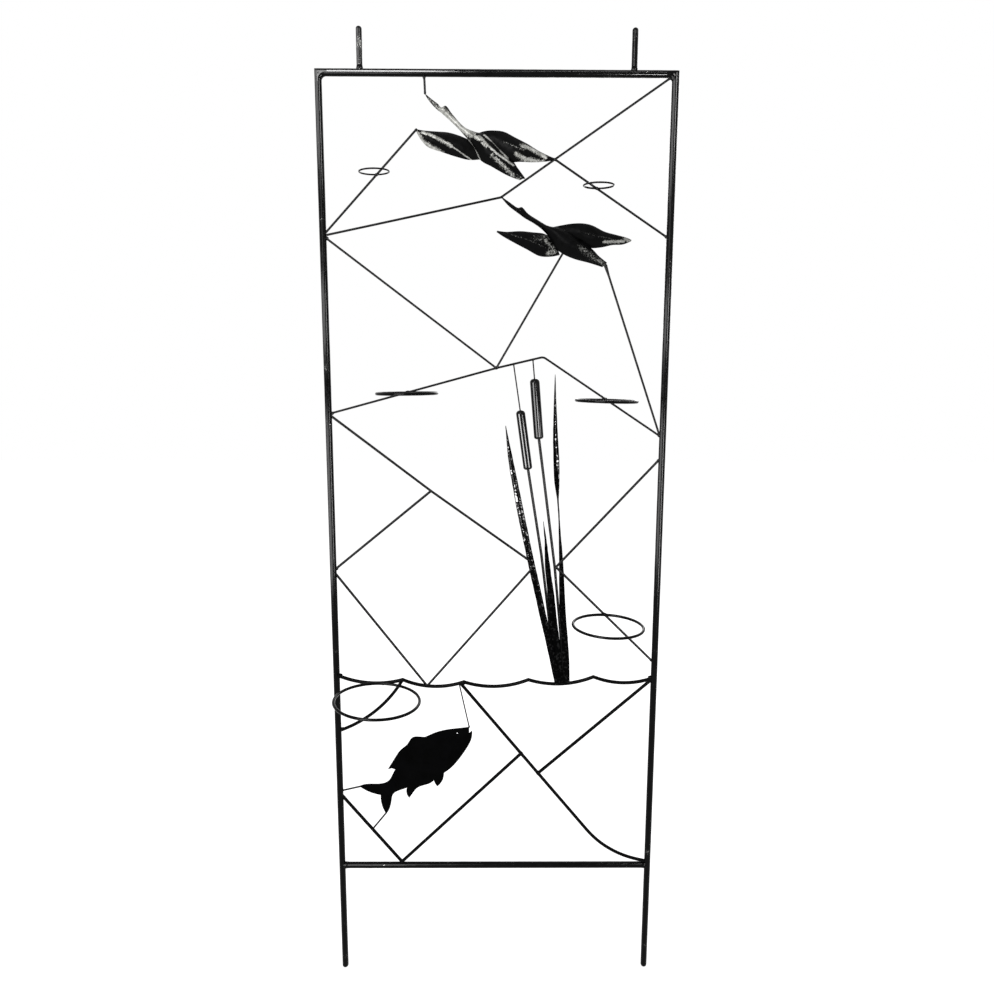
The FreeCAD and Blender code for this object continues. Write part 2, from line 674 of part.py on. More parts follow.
fish_mouth_wire = node(
    "fish_mouth_wire",
    straight("MouthWire", "FishWireTop", "FishJaw", "wire_diameter"),
    wave_rail,
    long_diagonal,
    fish_plate,
)
fish_tail_wire_upper = node(
    "fish_tail_wire_upper",
    straight("UpperTailWire", "FishWirePost", "FishTailTip", "wire_diameter"),
    left_post,
    fish_plate,
)
fish_tail_wire_lower = node(
    "fish_tail_wire_lower",
    straight("LowerTailWire", "FishLowJoint", "FishTailFoot", "wire_diameter"),
    corner_rod,
    fish_plate,
)

# Birds: dished sheet pieces lofted across, each row being
# lower edge across, lower edge up, upper edge across, upper edge up, crown
upper_body_shares = [
    (-0.005, 0.0, 0.005, -0.01, 0.02),
    (0.02, -0.07, 0.045, -0.065, 0.12),
    (0.055, -0.14, 0.09, -0.12, 0.18),
    (0.09, -0.195, 0.115, -0.16, 0.22),
    (0.115, -0.225, 0.15, -0.145, 0.38),
    (0.15, -0.275, 0.195, -0.245, 0.3),
    (0.22, -0.375, 0.27, -0.385, 0.42),
    (0.29, -0.505, 0.35, -0.445, 0.6),
    (0.345, -0.62, 0.425, -0.48, 0.85),
    (0.395, -0.77, 0.5, -0.615, 1.0),
    (0.48, -0.85, 0.605, -0.78, 0.85),
    (0.585, -0.945, 0.65, -0.865, 0.45),
    (0.68, -1.005, 0.72, -0.98, 0.12),
]
upper_left_wing_shares = [
    (-0.07, -0.425, -0.065, -0.41, 0.03),
    (-0.035, -0.53, -0.01, -0.425, 0.35),
    (0.02, -0.62, 0.075, -0.435, 0.75),
    (0.115, -0.675, 0.16, -0.445, 1.0),
    (0.22, -0.73, 0.24, -0.48, 1.0),
    (0.31, -0.765, 0.31, -0.53, 0.65),
    (0.395, -0.76, 0.355, -0.59, 0.15),
]
upper_right_wing_shares = [
    (0.425, -0.495, 0.43, -0.46, 0.1),
    (0.475, -0.615, 0.49, -0.43, 0.45),
    (0.535, -0.71, 0.565, -0.435, 0.8),
    (0.605, -0.785, 0.645, -0.5, 1.0),
    (0.685, -0.785, 0.735, -0.575, 0.85),
    (0.78, -0.79, 0.81, -0.65, 0.55),
    (0.87, -0.78, 0.885, -0.71, 0.25),
    (0.935, -0.76, 0.94, -0.745, 0.03),
]
lower_body_shares = [
    (-0.005, 0.005, 0.005, 0.005, 0.02),
    (0.05, -0.115, 0.065, -0.075, 0.12),
    (0.11, -0.205, 0.12, -0.145, 0.18),
    (0.125, -0.225, 0.155, -0.14, 0.35),
    (0.175, -0.295, 0.2, -0.23, 0.3),
    (0.235, -0.36, 0.265, -0.31, 0.38),
    (0.295, -0.44, 0.35, -0.4, 0.5),
    (0.345, -0.54, 0.435, -0.425, 0.7),
    (0.39, -0.69, 0.51, -0.485, 0.9),
    (0.46, -0.8, 0.595, -0.6, 1.0),
    (0.55, -0.875, 0.685, -0.735, 0.85),
    (0.66, -0.93, 0.73, -0.825, 0.5),
    (0.76, -0.99, 0.795, -0.925, 0.12),
]
lower_left_wing_shares = [
    (-0.035, -0.49, -0.03, -0.47, 0.03),
    (0.02, -0.56, 0.04, -0.485, 0.3),
    (0.105, -0.65, 0.14, -0.475, 0.7),
    (0.195, -0.74, 0.235, -0.49, 1.0),
    (0.285, -0.83, 0.32, -0.51, 1.0),
    (0.37, -0.84, 0.37, -0.575, 0.65),
    (0.44, -0.815, 0.415, -0.685, 0.15),
]
lower_right_wing_shares = [
    (0.475, -0.46, 0.475, -0.415, 0.1),
    (0.525, -0.54, 0.525, -0.37, 0.45),
    (0.59, -0.635, 0.605, -0.36, 0.8),
    (0.655, -0.71, 0.68, -0.39, 1.0),
    (0.745, -0.705, 0.77, -0.475, 0.85),
    (0.83, -0.67, 0.855, -0.52, 0.55),
    (0.91, -0.66, 0.935, -0.56, 0.25),
    (0.97, -0.615, 0.975, -0.595, 0.03),
]


def dished(name, rows, beak, span, height, crown, setback):
    """A sheet bowed towards the front between its two edges."""
    sheet_depth = Vector(0, size("bird_sheet"), 0)
    sections = []
    for low_across, low_up, high_across, high_up, crown_share in rows:
        rear = size("bird_sheet") * (setback - 0.5)
        low = beak + Vector(span * low_across, rear, height * low_up)
        high = beak + Vector(span * high_across, rear, height * high_up)
        middle = (low + high) / 2 - Vector(0, crown * crown_share, 0)
        front = Part.Arc(low, middle, high).toShape()
        back = Part.Arc(high + sheet_depth, middle + sheet_depth, low + sheet_depth).toShape()
        top = Part.LineSegment(high, high + sheet_depth).toShape()
        bottom = Part.LineSegment(low + sheet_depth, low).toShape()
        sections.append(Part.Wire([front, top, back, bottom]))
    piece = doc.addObject("Part::Feature", name)
    piece.Shape = Part.makeLoft(sections, True, True)
    return piece


def bird(title, body_rows, left_rows, right_rows, body_tools, left_tools, right_tools):
    beak = place_of(f"{title}Beak")
    span = size(f"{title.lower()}_bird_span")
    height = size(f"{title.lower()}_bird_height")
    body_sheet = dished(f"{title}Body", body_rows, beak, span, height, size("bird_body_crown"), 0)
    left_sheet = dished(f"{title}LeftWing", left_rows, beak, span, height, size("bird_wing_crown"), 1)
    right_sheet = dished(f"{title}RightWing", right_rows, beak, span, height, size("bird_wing_crown"), 1)
    body = node(f"{title.lower()}_bird_body", body_sheet, *body_tools)
    left = node(f"{title.lower()}_bird_left_wing", left_sheet, body, *left_tools)
    right = node(f"{title.lower()}_bird_right_wing", right_sheet, body, *right_tools)
    return body, left, right


upper_bird = bird(
    "Upper",
    upper_body_shares,
    upper_left_wing_shares,
    upper_right_wing_shares,
    [beak_rod, cloud_rod],
    [left_wing_rod],
    [cloud_rod, right_wing_rod],
)
lower_bird = bird(
    "Lower",
    lower_body_shares,
    lower_left_wing_shares,
    lower_right_wing_shares,
    [cloud_rod, belly_rod, tail_rod],
    [belly_rod],
    [tail_rod],
)


# Rings: flat hoops that reach forward from the bar they are welded to
def hoop(label, start, end, share, bar, wire, diameter, droop):
    seat = between(label + "_seat", start, end, share)
    forward = f"(Sizes.{bar} + Sizes.{wire}) / 2 + Sizes.{diameter} / 2 * cos({droop})"
    ring = doc.addObject("Part::Torus", label + "_hoop")
    ring.setExpression("Radius1", f"Sizes.{diameter} / 2")
    ring.setExpression("Radius2", f"Sizes.{wire} / 2")
    lowered = f"{seat.Name}.Z - Sizes.{diameter} / 2 * sin({droop}) * 1 mm"
    base = f"create(<<vector>>; {seat.Name}.X; {seat.Name}.Y - ({forward}) * 1 mm; {lowered})"
    turn = f"create(<<rotation>>; create(<<vector>>; 1; 0; 0); {droop})"
    ring.setExpression("Placement", f"create(<<placement>>; {base}; {turn})")
    knot(label + "_touch", f"{seat.Name}.X", f"{seat.Name}.Z", f"{seat.Name}.Y - Sizes.{bar} / 2 * 1 mm")
    return node(label, ring)


droop = "Sizes.ring_droop * 1 deg"
level = "0 deg"
net_bar = "net_rod_diameter"
candle_wire = "candle_wire_diameter"
pot_wire = "ring_wire_diameter"
net_hoop_shares = {
    "candle_ring_left": ("LeftHigh", "LeftWingTip", 0.58, candle_wire, "candle_ring_diameter", left_wing_rod),
    "candle_ring_right": ("WingRodStart", "RightHigh", 0.36, candle_wire, "candle_ring_diameter", right_wing_rod),
    "pot_ring_mid_left": ("LeftMid", "Heart", 0.4896, pot_wire, "mid_ring_diameter", ridge_rod),
    "pot_ring_mid_right": ("Peak", "RightMid", 0.49, pot_wire, "mid_ring_diameter", ridge_rod),
    "pot_ring_low_right": ("RightVPoint", "RightLowerV", 0.468, pot_wire, "low_right_ring_diameter", right_v_rod),
}
hoops = []
for label, (start, end, share, wire, diameter, bar) in net_hoop_shares.items():
    ring = hoop(label, start, end, share, net_bar, wire, diameter, droop)
    hoops.append((label, ring, bar))
# The largest ring hangs on the first scallop of the wave rail
low_left = "pot_ring_low_left"
low_seat = "FirstScallopSeat"
low_ring = hoop(low_left, low_seat, low_seat, 0, "rod_diameter", pot_wire, "low_left_ring_diameter", level)
hoops.append((low_left, low_ring, wave_rail))
doc.recompute()


# Weld beads: small balls at the joints, each cut away by the bars that it joins
def bead(name, spot, diameter, *tools):
    blob = ball(name, spot, diameter)
    for number, tool in enumerate(tools, start=1):
        cut = doc.addObject("Part::Cut", f"{name}_cut{number}")
        cut.Base = blob
        cut.Tool = tool
        blob = cut
    return blob


def post_bead(name, start, end, diameter, *tools):
    """A bead where a bar that starts on a post's axis leaves the post."""
    share = f"(Sizes.bar_diameter / 2 * 1 mm / abs({end}.X - {start}.X))"
    spot = between(name + "_spot", start, end, share)
    return bead(name, spot.Name, diameter, *tools)


def bead_group(label, beads):
    group = doc.addObject("Part::Compound", label + "_group")
    group.Links = beads
    return node(label, group)


left_rail_bead = post_bead("LeftRailBead", "LeftFoot", "RightFoot", "frame_weld_diameter", left_post, bottom_rail)
left_rail_weld = node("left_rail_weld", left_rail_bead)
right_tools = (right_post, bottom_rail, long_diagonal)
right_rail_bead = post_bead("RightRailBead", "RightFoot", "LeftFoot", "frame_weld_diameter", *right_tools)
right_rail_weld = node("right_rail_weld", right_rail_bead)
for side, prong in zip(("left", "right"), prongs):
    spot = knot(
        f"{side}_prong_bead_spot",
        f"{side}_prong_foot.X",
        f"{side}_prong_foot.Z + Sizes.bar_diameter / 2 * 1 mm",
    )
    node(f"{side}_prong_weld", bead(f"{side}_prong_bead", spot.Name, "prong_weld_diameter", top_rail, prong))

heavy = "rod_weld_diameter"
rod_welds = bead_group(
    "rod_welds",
    [
        post_bead("corner_bead", "CornerTop", "CornerFoot", heavy, left_post, corner_rod),
        post_bead("wave_left_bead", "WaveLeft", "WaveTwo", heavy, left_post, wave_rail),
        post_bead("wave_right_bead", "WaveRight", "WaveFive", heavy, right_post, wave_rail, right_diagonal),
        bead("rising_bead", "SweepRising", heavy, long_diagonal, rising_rod),
        bead("sweep_bead", "SweepRight", heavy, long_diagonal, right_diagonal),
        bead("rising_foot_bead", "RisingFoot", heavy, corner_rod, rising_rod, bottom_rail),
        bead("sweep_top_bead", "WaveThree", heavy, wave_rail, long_diagonal, fish_mouth_wire),
        bead("shore_top_bead", "WaveTwo", heavy, wave_rail, shore_rod),
    ],
)

thin = "net_weld_diameter"
net_welds = bead_group(
    "net_welds",
    [
        post_bead("ridge_left_bead", "LeftMid", "Heart", thin, left_post, ridge_rod, left_slope_rod),
        post_bead("ridge_right_bead", "RightMid", "Peak", thin, right_post, ridge_rod, tail_rod),
        post_bead("valley_bead", "LeftHigh", "Heart", thin, left_post, valley_rod, cloud_rod, left_wing_rod),
        post_bead("wing_right_bead", "RightHigh", "WingRodStart", thin, right_post, right_wing_rod),
        post_bead("v_upper_bead", "RightUpperV", "RightVPoint", thin, right_post, right_v_rod),
        post_bead("v_lower_bead", "RightLowerV", "RightVPoint", thin, right_post, right_v_rod),
        post_bead("kite_post_bead", "LeftLow", "SlopeBend", thin, left_post, kite_upper_rod, kite_lower_rod),
        bead("kite_foot_bead", "KiteFoot", heavy, wave_rail, kite_lower_rod, kite_rise_rod),
    ],
)
ring_welds = bead_group(
    "ring_welds",
    [bead(name + "_weld", name + "_touch", "ring_weld_diameter", ring, bar) for name, ring, bar in hoops],
)

doc.recompute()
failed = [item.Name for item in doc.Objects if "Invalid" in item.State or "Error" in item.State]
if failed:
    raise RuntimeError(f"objects that failed: {failed}")
for piece in nodes:
    if piece.Shape.isNull() or not piece.Shape.isValid():
        raise RuntimeError(f"{piece.Label} has no sound shape")

os.makedirs("parts", exist_ok=True)
for piece in nodes:
    piece.Shape.exportStep(f"parts/{piece.Label}.step")
    print(piece.Label, len(piece.Shape.Solids), round(piece.Shape.Volume))
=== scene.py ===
import bmesh
import bpy
import json
import math
from mathutils import Matrix, Vector, noise

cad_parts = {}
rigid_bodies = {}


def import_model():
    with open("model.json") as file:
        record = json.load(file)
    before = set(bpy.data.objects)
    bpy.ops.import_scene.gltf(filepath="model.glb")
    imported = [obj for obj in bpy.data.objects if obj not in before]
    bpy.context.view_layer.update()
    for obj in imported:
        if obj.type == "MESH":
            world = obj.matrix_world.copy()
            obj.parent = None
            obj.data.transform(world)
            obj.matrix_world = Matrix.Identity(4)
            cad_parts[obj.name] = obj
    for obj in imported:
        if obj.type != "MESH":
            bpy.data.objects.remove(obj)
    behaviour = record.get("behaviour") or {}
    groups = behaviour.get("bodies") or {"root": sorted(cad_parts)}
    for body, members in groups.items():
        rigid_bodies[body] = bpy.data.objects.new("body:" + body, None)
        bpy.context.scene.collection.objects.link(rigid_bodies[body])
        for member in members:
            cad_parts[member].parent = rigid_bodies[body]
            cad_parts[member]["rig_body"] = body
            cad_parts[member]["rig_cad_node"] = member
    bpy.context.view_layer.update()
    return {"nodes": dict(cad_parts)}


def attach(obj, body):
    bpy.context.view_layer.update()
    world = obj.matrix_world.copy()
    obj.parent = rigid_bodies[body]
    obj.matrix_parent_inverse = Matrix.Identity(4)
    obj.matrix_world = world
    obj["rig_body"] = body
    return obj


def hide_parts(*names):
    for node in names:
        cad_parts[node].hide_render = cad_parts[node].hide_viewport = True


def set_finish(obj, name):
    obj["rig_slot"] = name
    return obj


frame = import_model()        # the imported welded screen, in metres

mm = 0.001
up = Vector((0, 0, 1))

# Joints of the screen on its panel, as x and z in mm
knots = {
    "leftFoot": (-309, 60), "rightFoot": (309, 60),
    "leftCorner": (-309, 1555), "rightCorner": (309, 1555),
    "leftHigh": (-309, 1284.4), "leftMid": (-309, 969.0), "leftLow": (-309, 672.2),
    "rightHigh": (309, 1280.7), "rightMid": (309, 926.4),
    "rightUpperV": (309, 891.2), "rightLowerV": (309, 488.3),
    "heart": (0, 1053.4), "peak": (85.9, 1073.6), "cloudBend": (7.4, 1350.9),
    "slopeBend": (-121.7, 826.2), "bladeHigh": (64.6, 692.3), "bladeLow": (68.4, 676.2),
    "beakTop": (-126.1, 1555), "upperBeak": (-124.8, 1522.1), "lowerBeak": (8.0, 1350.9),
    "leftWingTip": (-140.9, 1462.9), "wingRodStart": (101.9, 1414.9),
    "lowerBelly": (118.4, 1256.1), "lowerTail": (194.9, 1236.3), "tailRodEnd": (303.4, 930.1),
    "waveLeft": (-309, 464.4), "waveTwo": (-180.8, 454.7), "waveThree": (-61.8, 450.2),
    "waveFour": (64.0, 454.7), "waveFive": (191.0, 460.7), "waveRight": (309, 459.2),
    "shoreMiddle": (-236.1, 389.5), "shoreEnd": (-309, 348.5),
    "sweepTop": (-68.6, 448.0), "sweepBend": (225.9, 86.5), "sweepEnd": (309, 67.5),
    "sweepRising": (51.0, 301.2), "sweepRight": (85.1, 259.3),
    "cornerTop": (-309, 216.5), "cornerFoot": (-182.3, 60), "risingFoot": (-188.3, 67.4),
    "kiteFoot": (-133.2, 442.0), "reedFoot": (127.5, 446.3),
    "fishMouth": (-51.5, 356.8), "fishWireTop": (-71.1, 448.0), "fishWirePost": (-309, 221.5),
    "fishLow": (-246.2, 138.9), "fishTail": (-267.9, 231.3), "fishTailFoot": (-217.9, 174.6),
    "leftHead": (59.8, 866.9), "rightHead": (79.4, 923.8),
    "leftTipTop": (31.5, 1060.8), "rightTipTop": (66.7, 1069.1),
    "vPoint": (114.6, 680.1),
}


def at(name):
    x, z = knots[name]
    return Vector((x * mm, 0, z * mm))


def clearSelection():
    if bpy.context.object and bpy.context.object.mode != "OBJECT":
        bpy.ops.object.mode_set(mode="OBJECT")
    bpy.ops.object.select_all(action="DESELECT")


def addNew(operator, **settings):
    # a new primitive, with nothing else selected
    clearSelection()
    operator(**settings)
    return bpy.context.object


def pick(*pieces):
    clearSelection()
    for piece in pieces:
        piece.select_set(True)
    bpy.context.view_layer.objects.active = pieces[0]
    return pieces[0]


def settle(piece):
    # puts the piece's place and turn into its mesh
    pick(piece)
    bpy.ops.object.transform_apply(location=True, rotation=True, scale=True)
    return piece


def editAll(piece):
    # edit mode, with all of the piece selected
    pick(piece)
    bpy.ops.object.mode_set(mode="EDIT")
    bpy.ops.mesh.select_all(action="SELECT")


def addModifier(piece, kind, **settings):
    pick(piece)
    modifier = piece.modifiers.new(kind.title(), kind)
    for name, value in settings.items():
        setattr(modifier, name, value)
    bpy.ops.object.modifier_apply(modifier=modifier.name)
    return piece


def turnFromUp(direction):
    return up.rotation_difference(direction.normalized()).to_euler()


def joinAll(pieces):
    pick(*pieces)
    if len(pieces) > 1:
        bpy.ops.object.join()
    return bpy.context.view_layer.objects.active


# finishes
def hexToLinear(code):
    channels = [int(code[i:i + 2], 16) / 255 for i in (1, 3, 5)]
    linear = [c / 12.92 if c <= 0.04045 else ((c + 0.055) / 1.055) ** 2.4 for c in channels]
    return (*linear, 1.0)


def feed(tree, node, sockets):
    # a socket is given a number or a colour, or another node's socket to link it to
    for name, value in sockets.items():
        if isinstance(value, bpy.types.NodeSocket):
            tree.links.new(value, node.inputs[name])
        else:
            node.inputs[name].default_value = value


def addNode(tree, kind, sockets=None, **settings):
    node = tree.nodes.new(kind)
    for name, value in settings.items():
        setattr(node, name, value)
    feed(tree, node, sockets or {})
    return node


def rampStops(node, *stops):
    # gives a ramp its stops, as places and hex colours
    for element, (place, code) in zip(node.color_ramp.elements, stops):
        element.position = place
        element.color = hexToLinear(code)
    return node.outputs["Color"]


def newFinish(name):
    finish = bpy.data.materials.new(name)
    finish.use_nodes = True
    tree = finish.node_tree
    shader = tree.nodes["Principled BSDF"]
    place = addNode(tree, "ShaderNodeTexCoord").outputs["Object"]
    return finish, tree, shader, place


def grain(place, sizeMm, detail=2.0, rough=0.5):
    # what a noise is given for cells about sizeMm across
    return {"Vector": place, "Scale": 1000.0 / sizeMm, "Detail": detail, "Roughness": rough}


bumpHeight = 0.6 * mm
enamel = {
    "deep": "#040404", "thin": "#0b0b0c", "bare": "#8f8f8c",
    # patterns: a cell's size in mm, detail and roughness
    "patch": (26.0, 3.0, 0.6), "pits": (3.0, 3.0, 0.65), "dust": (1.6, 2.0, 0.7), "flecks": (5.0, 1.0),
    # how many times rougher the dullest patches are than the glossiest
    "dullest": 1.6,
}


def brushedEnamel(name, gloss, wornFrom, wornTo, pitDepth, sheen=0.08, flecks=0.0):
    # Black enamel brushed over forged mild steel: deep gloss black, with pits of the forge scale showing
    # through and small specks rubbed back to grey metal where wornFrom and wornTo let them
    finish, tree, shader, place = newFinish(name)
    patch, pits, dust = (addNode(tree, "ShaderNodeTexNoise", grain(place, *enamel[pattern])).outputs["Fac"]
                         for pattern in ("patch", "pits", "dust"))
    tone = rampStops(addNode(tree, "ShaderNodeValToRGB", {"Fac": patch}),
                     (0.35, enamel["deep"]), (0.75, enamel["thin"]))
    both = addNode(tree, "ShaderNodeMath", {0: patch, 1: dust}, operation="MULTIPLY")
    worn = addNode(tree, "ShaderNodeMapRange", {"From Min": wornFrom, "From Max": wornTo, "Value": both.outputs[0]})
    bare = addNode(tree, "ShaderNodeMix", {"Factor": worn.outputs[0], "A": tone, "B": hexToLinear(enamel["bare"])},
                   data_type="RGBA")
    dull = addNode(tree, "ShaderNodeMapRange", {"From Min": 0.3, "From Max": 0.7, "To Min": gloss,
                                                "To Max": gloss * enamel["dullest"], "Value": patch})
    bump = addNode(tree, "ShaderNodeBump", {"Strength": pitDepth, "Distance": bumpHeight, "Height": pits})
    feed(tree, shader, {"Base Color": bare.outputs["Result"], "Roughness": dull.outputs[0],
                        "Metallic": worn.outputs[0], "Specular IOR Level": sheen, "Normal": bump.outputs["Normal"]})
    if flecks:
        # hammered: the paint is glossy on the high flecks alone
        high = addNode(tree, "ShaderNodeTexNoise", grain(place, *enamel["flecks"])).outputs["Fac"]
        shine = addNode(tree, "ShaderNodeMapRange", {"From Min": flecks, "From Max": flecks + 0.04,
                                                     "To Min": 0.005, "To Max": sheen, "Value": high})
        feed(tree, shader, {"Specular IOR Level": shine.outputs[0]})
    return finish


# metalShare: how metallic the grey painted highlights are, kept low so that they stay mostly painted colour
beaten = {"speck": (2.6, 4.0, 0.7), "blotch": (9.0,), "metalShare": 0.25}


def sheetWithPaintedHighlights(name, dullness, highlightGreys, sheen, broken):
    # Painted sheet steel, beaten, with grey highlights painted along its chased lines: the mesh's attribute of
    # painted highlight says where, and the noise breaks the painted highlights into specks, by as much as broken says
    finish, tree, shader, place = newFinish(name)
    rub = addNode(tree, "ShaderNodeAttribute", attribute_name="paintedHighlight").outputs["Fac"]
    speck, blotch = (addNode(tree, "ShaderNodeTexNoise", grain(place, *beaten[pattern])).outputs["Fac"]
                     for pattern in ("speck", "blotch"))
    scatter = addNode(tree, "ShaderNodeMapRange",
                      {"From Min": 0.3, "From Max": 0.7, "To Min": -broken, "To Max": broken, "Value": speck})
    summed = addNode(tree, "ShaderNodeMath", {0: rub, 1: scatter.outputs[0]}, operation="ADD")
    mask = addNode(tree, "ShaderNodeMapRange", {"From Min": 0.32, "From Max": 0.8, "Value": summed.outputs[0]})
    gate = addNode(tree, "ShaderNodeMath", {0: rub, 1: 0.03}, operation="GREATER_THAN")
    bare = addNode(tree, "ShaderNodeMath", {0: mask.outputs[0], 1: gate.outputs[0]}, operation="MULTIPLY")
    tone = rampStops(addNode(tree, "ShaderNodeValToRGB", {"Fac": blotch}),
                     (0.3, enamel["deep"]), (0.75, enamel["thin"]))
    # the grey that the painted highlights get, lighter where the blotch noise is high
    highlightTone = rampStops(addNode(tree, "ShaderNodeValToRGB", {"Fac": blotch}), (0.3, highlightGreys[0]), (0.7, highlightGreys[1]))
    mixed = addNode(tree, "ShaderNodeMix", {"Factor": bare.outputs[0], "A": tone, "B": highlightTone}, data_type="RGBA")
    half = addNode(tree, "ShaderNodeMath", {0: bare.outputs[0], 1: beaten["metalShare"]}, operation="MULTIPLY")
    rough = addNode(tree, "ShaderNodeMapRange", {"From Min": 0.3, "From Max": 0.7, "To Min": dullness,
                                                 "To Max": dullness + 0.2, "Value": blotch})
    bump = addNode(tree, "ShaderNodeBump", {"Strength": 0.2, "Distance": bumpHeight, "Height": speck})
    feed(tree, shader, {"Base Color": mixed.outputs["Result"], "Roughness": rough.outputs[0],
                        "Metallic": half.outputs[0], "Specular IOR Level": sheen, "Normal": bump.outputs["Normal"]})
    return finish


# one finish for each of the record's material slots
finishes = {
    "frame_paint": brushedEnamel("glossEnamelOnForgedBar", 0.1, 0.42, 0.5, 0.05, 0.055),
    "prong_paint": brushedEnamel("rubbedEnamelOnProng", 0.2, 0.34, 0.44, 0.12, 0.08),
    "rod_paint": brushedEnamel("glossEnamelOnRoundRod", 0.15, 0.45, 0.52, 0.04, 0.045),
    "net_paint": brushedEnamel("satinEnamelOnThinRod", 0.24, 0.48, 0.56, 0.01, 0.04),
    "ring_paint": brushedEnamel("glossEnamelOnBentWire", 0.14, 0.45, 0.52, 0.03, 0.05),
    "cattail_gloss": brushedEnamel("pouredGlossEnamelOnCattail", 0.09, 0.6, 0.7, 0.004, 0.12),
    "hammered_blade": brushedEnamel("glossEnamelOnHammeredLeaf", 0.1, 0.5, 0.58, 0.2, 0.1, 0.58),
    "fish_paint": brushedEnamel("flatEnamelOnCutPlate", 0.5, 0.6, 0.7, 0.1, 0.01),
    # the birds' sheets: black enamel with grey highlights painted along their chased lines
    "upper_bird_paint": sheetWithPaintedHighlights("enamelOnBeatenSheetWithPaintedHighlights", 0.24, ("#858580", "#e2e2dd"), 0.05, 0.5),
    "lower_bird_paint": sheetWithPaintedHighlights("satinEnamelOnBeatenSheetWithPaintedHighlights", 0.28, ("#50514f", "#c0c0bb"), 0.04, 0.55),
}
print("finishes ready")

# dents that the hammer left, as Blender textures for the Displace modifier
forgeMarks = bpy.data.textures.new("forgeMarks", "CLOUDS")
forgeMarks.noise_scale = 0.011
forgeMarks.noise_depth = 1
handWaver = bpy.data.textures.new("handWaver", "CLOUDS")
handWaver.noise_scale = 0.07
beadRipple = bpy.data.textures.new("beadRipple", "CLOUDS")
beadRipple.noise_scale = 0.0028
hammerFace = bpy.data.textures.new("hammerFace", "VORONOI")
hammerFace.noise_scale = 0.0085
hammerFace.distance_metric = "DISTANCE"

pieceCount = 0


def dent(piece, texture, depth, level=0.5):
    return addModifier(piece, "DISPLACE", texture=texture, texture_coords="GLOBAL", strength=depth, mid_level=level)


def finishPiece(piece, label, nodes, slot, smoothAngle=50, dents=0.0, finish=None):
    global pieceCount
    if dents:
        dent(piece, forgeMarks, dents)
    settle(piece)
    piece.name = label
    piece.data.name = label
    piece.data.materials.clear()
    piece.data.materials.append(finish or finishes[slot])
    pick(piece)
    bpy.ops.object.shade_smooth_by_angle(angle=math.radians(smoothAngle))
    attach(piece, "root")
    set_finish(piece, slot)
    if nodes:
        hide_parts(*nodes)
    pieceCount += 1
    return piece


def closeAndFace(piece):
    # merges doubles and turns the faces outwards
    editAll(piece)
    bpy.ops.mesh.remove_doubles(threshold=0.01 * mm)
    bpy.ops.mesh.normals_make_consistent(inside=False)
    bpy.ops.object.mode_set(mode="OBJECT")
    return piece


def fuse(piece, voxel, rounds):
    # melts bars that overlap into one skin
    addModifier(piece, "REMESH", mode="VOXEL", voxel_size=voxel)
    return addModifier(piece, "SMOOTH", factor=0.5, iterations=rounds)


def selectEdges(piece, wanted):
    # in edit mode, only the edges that are wanted
    bpy.ops.mesh.select_all(action="DESELECT")
    mesh = bmesh.from_edit_mesh(piece.data)
    for edge in mesh.edges:
        if wanted(edge):
            edge.select = True
    bmesh.update_edit_mesh(piece.data)


# forged bars
def straightBar(start, end, radius, sides=24, stepMm=3.0, startRound=0.0, endRound=0.0):
    # a cylinder at its size and place, its rims rounded, then cut lengthwise so that the dents have something to move
    run = end - start
    bar = addNew(bpy.ops.mesh.primitive_cylinder_add, vertices=sides, radius=radius, depth=run.length,
                 location=(start + end) / 2, rotation=turnFromUp(run))
    bpy.ops.object.mode_set(mode="EDIT")
    for side, rounding in ((-1, startRound), (1, endRound)):
        if not rounding:
            continue
        selectEdges(bar, lambda edge: all(v.co.z * side > run.length * 0.4999 for v in edge.verts))
        bpy.ops.mesh.bevel(offset=rounding, segments=7, profile=0.5)
    selectEdges(bar, lambda edge: abs(edge.verts[0].co.z - edge.verts[1].co.z) > run.length * 0.5)
    bpy.ops.mesh.subdivide(number_cuts=max(1, int(run.length / (stepMm * mm))))
    bpy.ops.object.mode_set(mode="OBJECT")
    return settle(bar)


def bentBar(corners, radius, bends, sides=20, stepMm=4.0):
    # a bezier route with a round bevel: straight runs joined by arcs of the named bend radii
    stations = [(corners[0], 0)]
    for before, corner, after, bend in zip(corners, corners[1:], corners[2:], bends):
        back, ahead = (before - corner).normalized(), (after - corner).normalized()
        half = (math.pi - back.angle(ahead)) / 2
        reach = bend * math.tan(half)
        handle = 4 / 3 * math.tan(half / 2) * bend
        stations.append((corner + back * reach, 0, corner + back * (reach - handle)))
        stations.append((corner + ahead * reach, 1, corner + ahead * (reach - handle)))
    stations.append((corners[-1], 0))
    return bezierBar(stations, radius, sides, stepMm)


def bezierBar(stations, radius, sides, stepMm):
    points = []
    for number, station in enumerate(stations):
        spot = station[0]
        if number and not (len(station) == 3 and station[1] == 1):
            # a straight run from the last station, in equal short steps
            last = stations[number - 1][0]
            count = max(1, int((spot - last).length / (stepMm * 12 * mm)))
            for step in range(1, count):
                middle = last.lerp(spot, step / count)
                points.append([middle, middle, middle])
        points.append([spot, spot, spot])
        if len(station) == 3:
            points[-1][1 if station[1] == 1 else 2] = station[2]
    route = addNew(bpy.ops.curve.primitive_bezier_curve_add, location=(0, 0, 0))
    spline = route.data.splines[0]
    spline.bezier_points.add(len(points) - 2)
    for point, (spot, left, right) in zip(spline.bezier_points, points):
        point.handle_left_type = point.handle_right_type = "FREE"
        point.co = spot
        point.handle_left, point.handle_right = left, right
    for before, after in zip(spline.bezier_points, spline.bezier_points[1:]):
        step = (after.co - before.co) / 3
        if (before.handle_right - before.co).length < 1e-7 and (after.handle_left - after.co).length < 1e-7:
            before.handle_right, after.handle_left = before.co + step, after.co - step
    return routeToBar(route, radius, sides, 12)


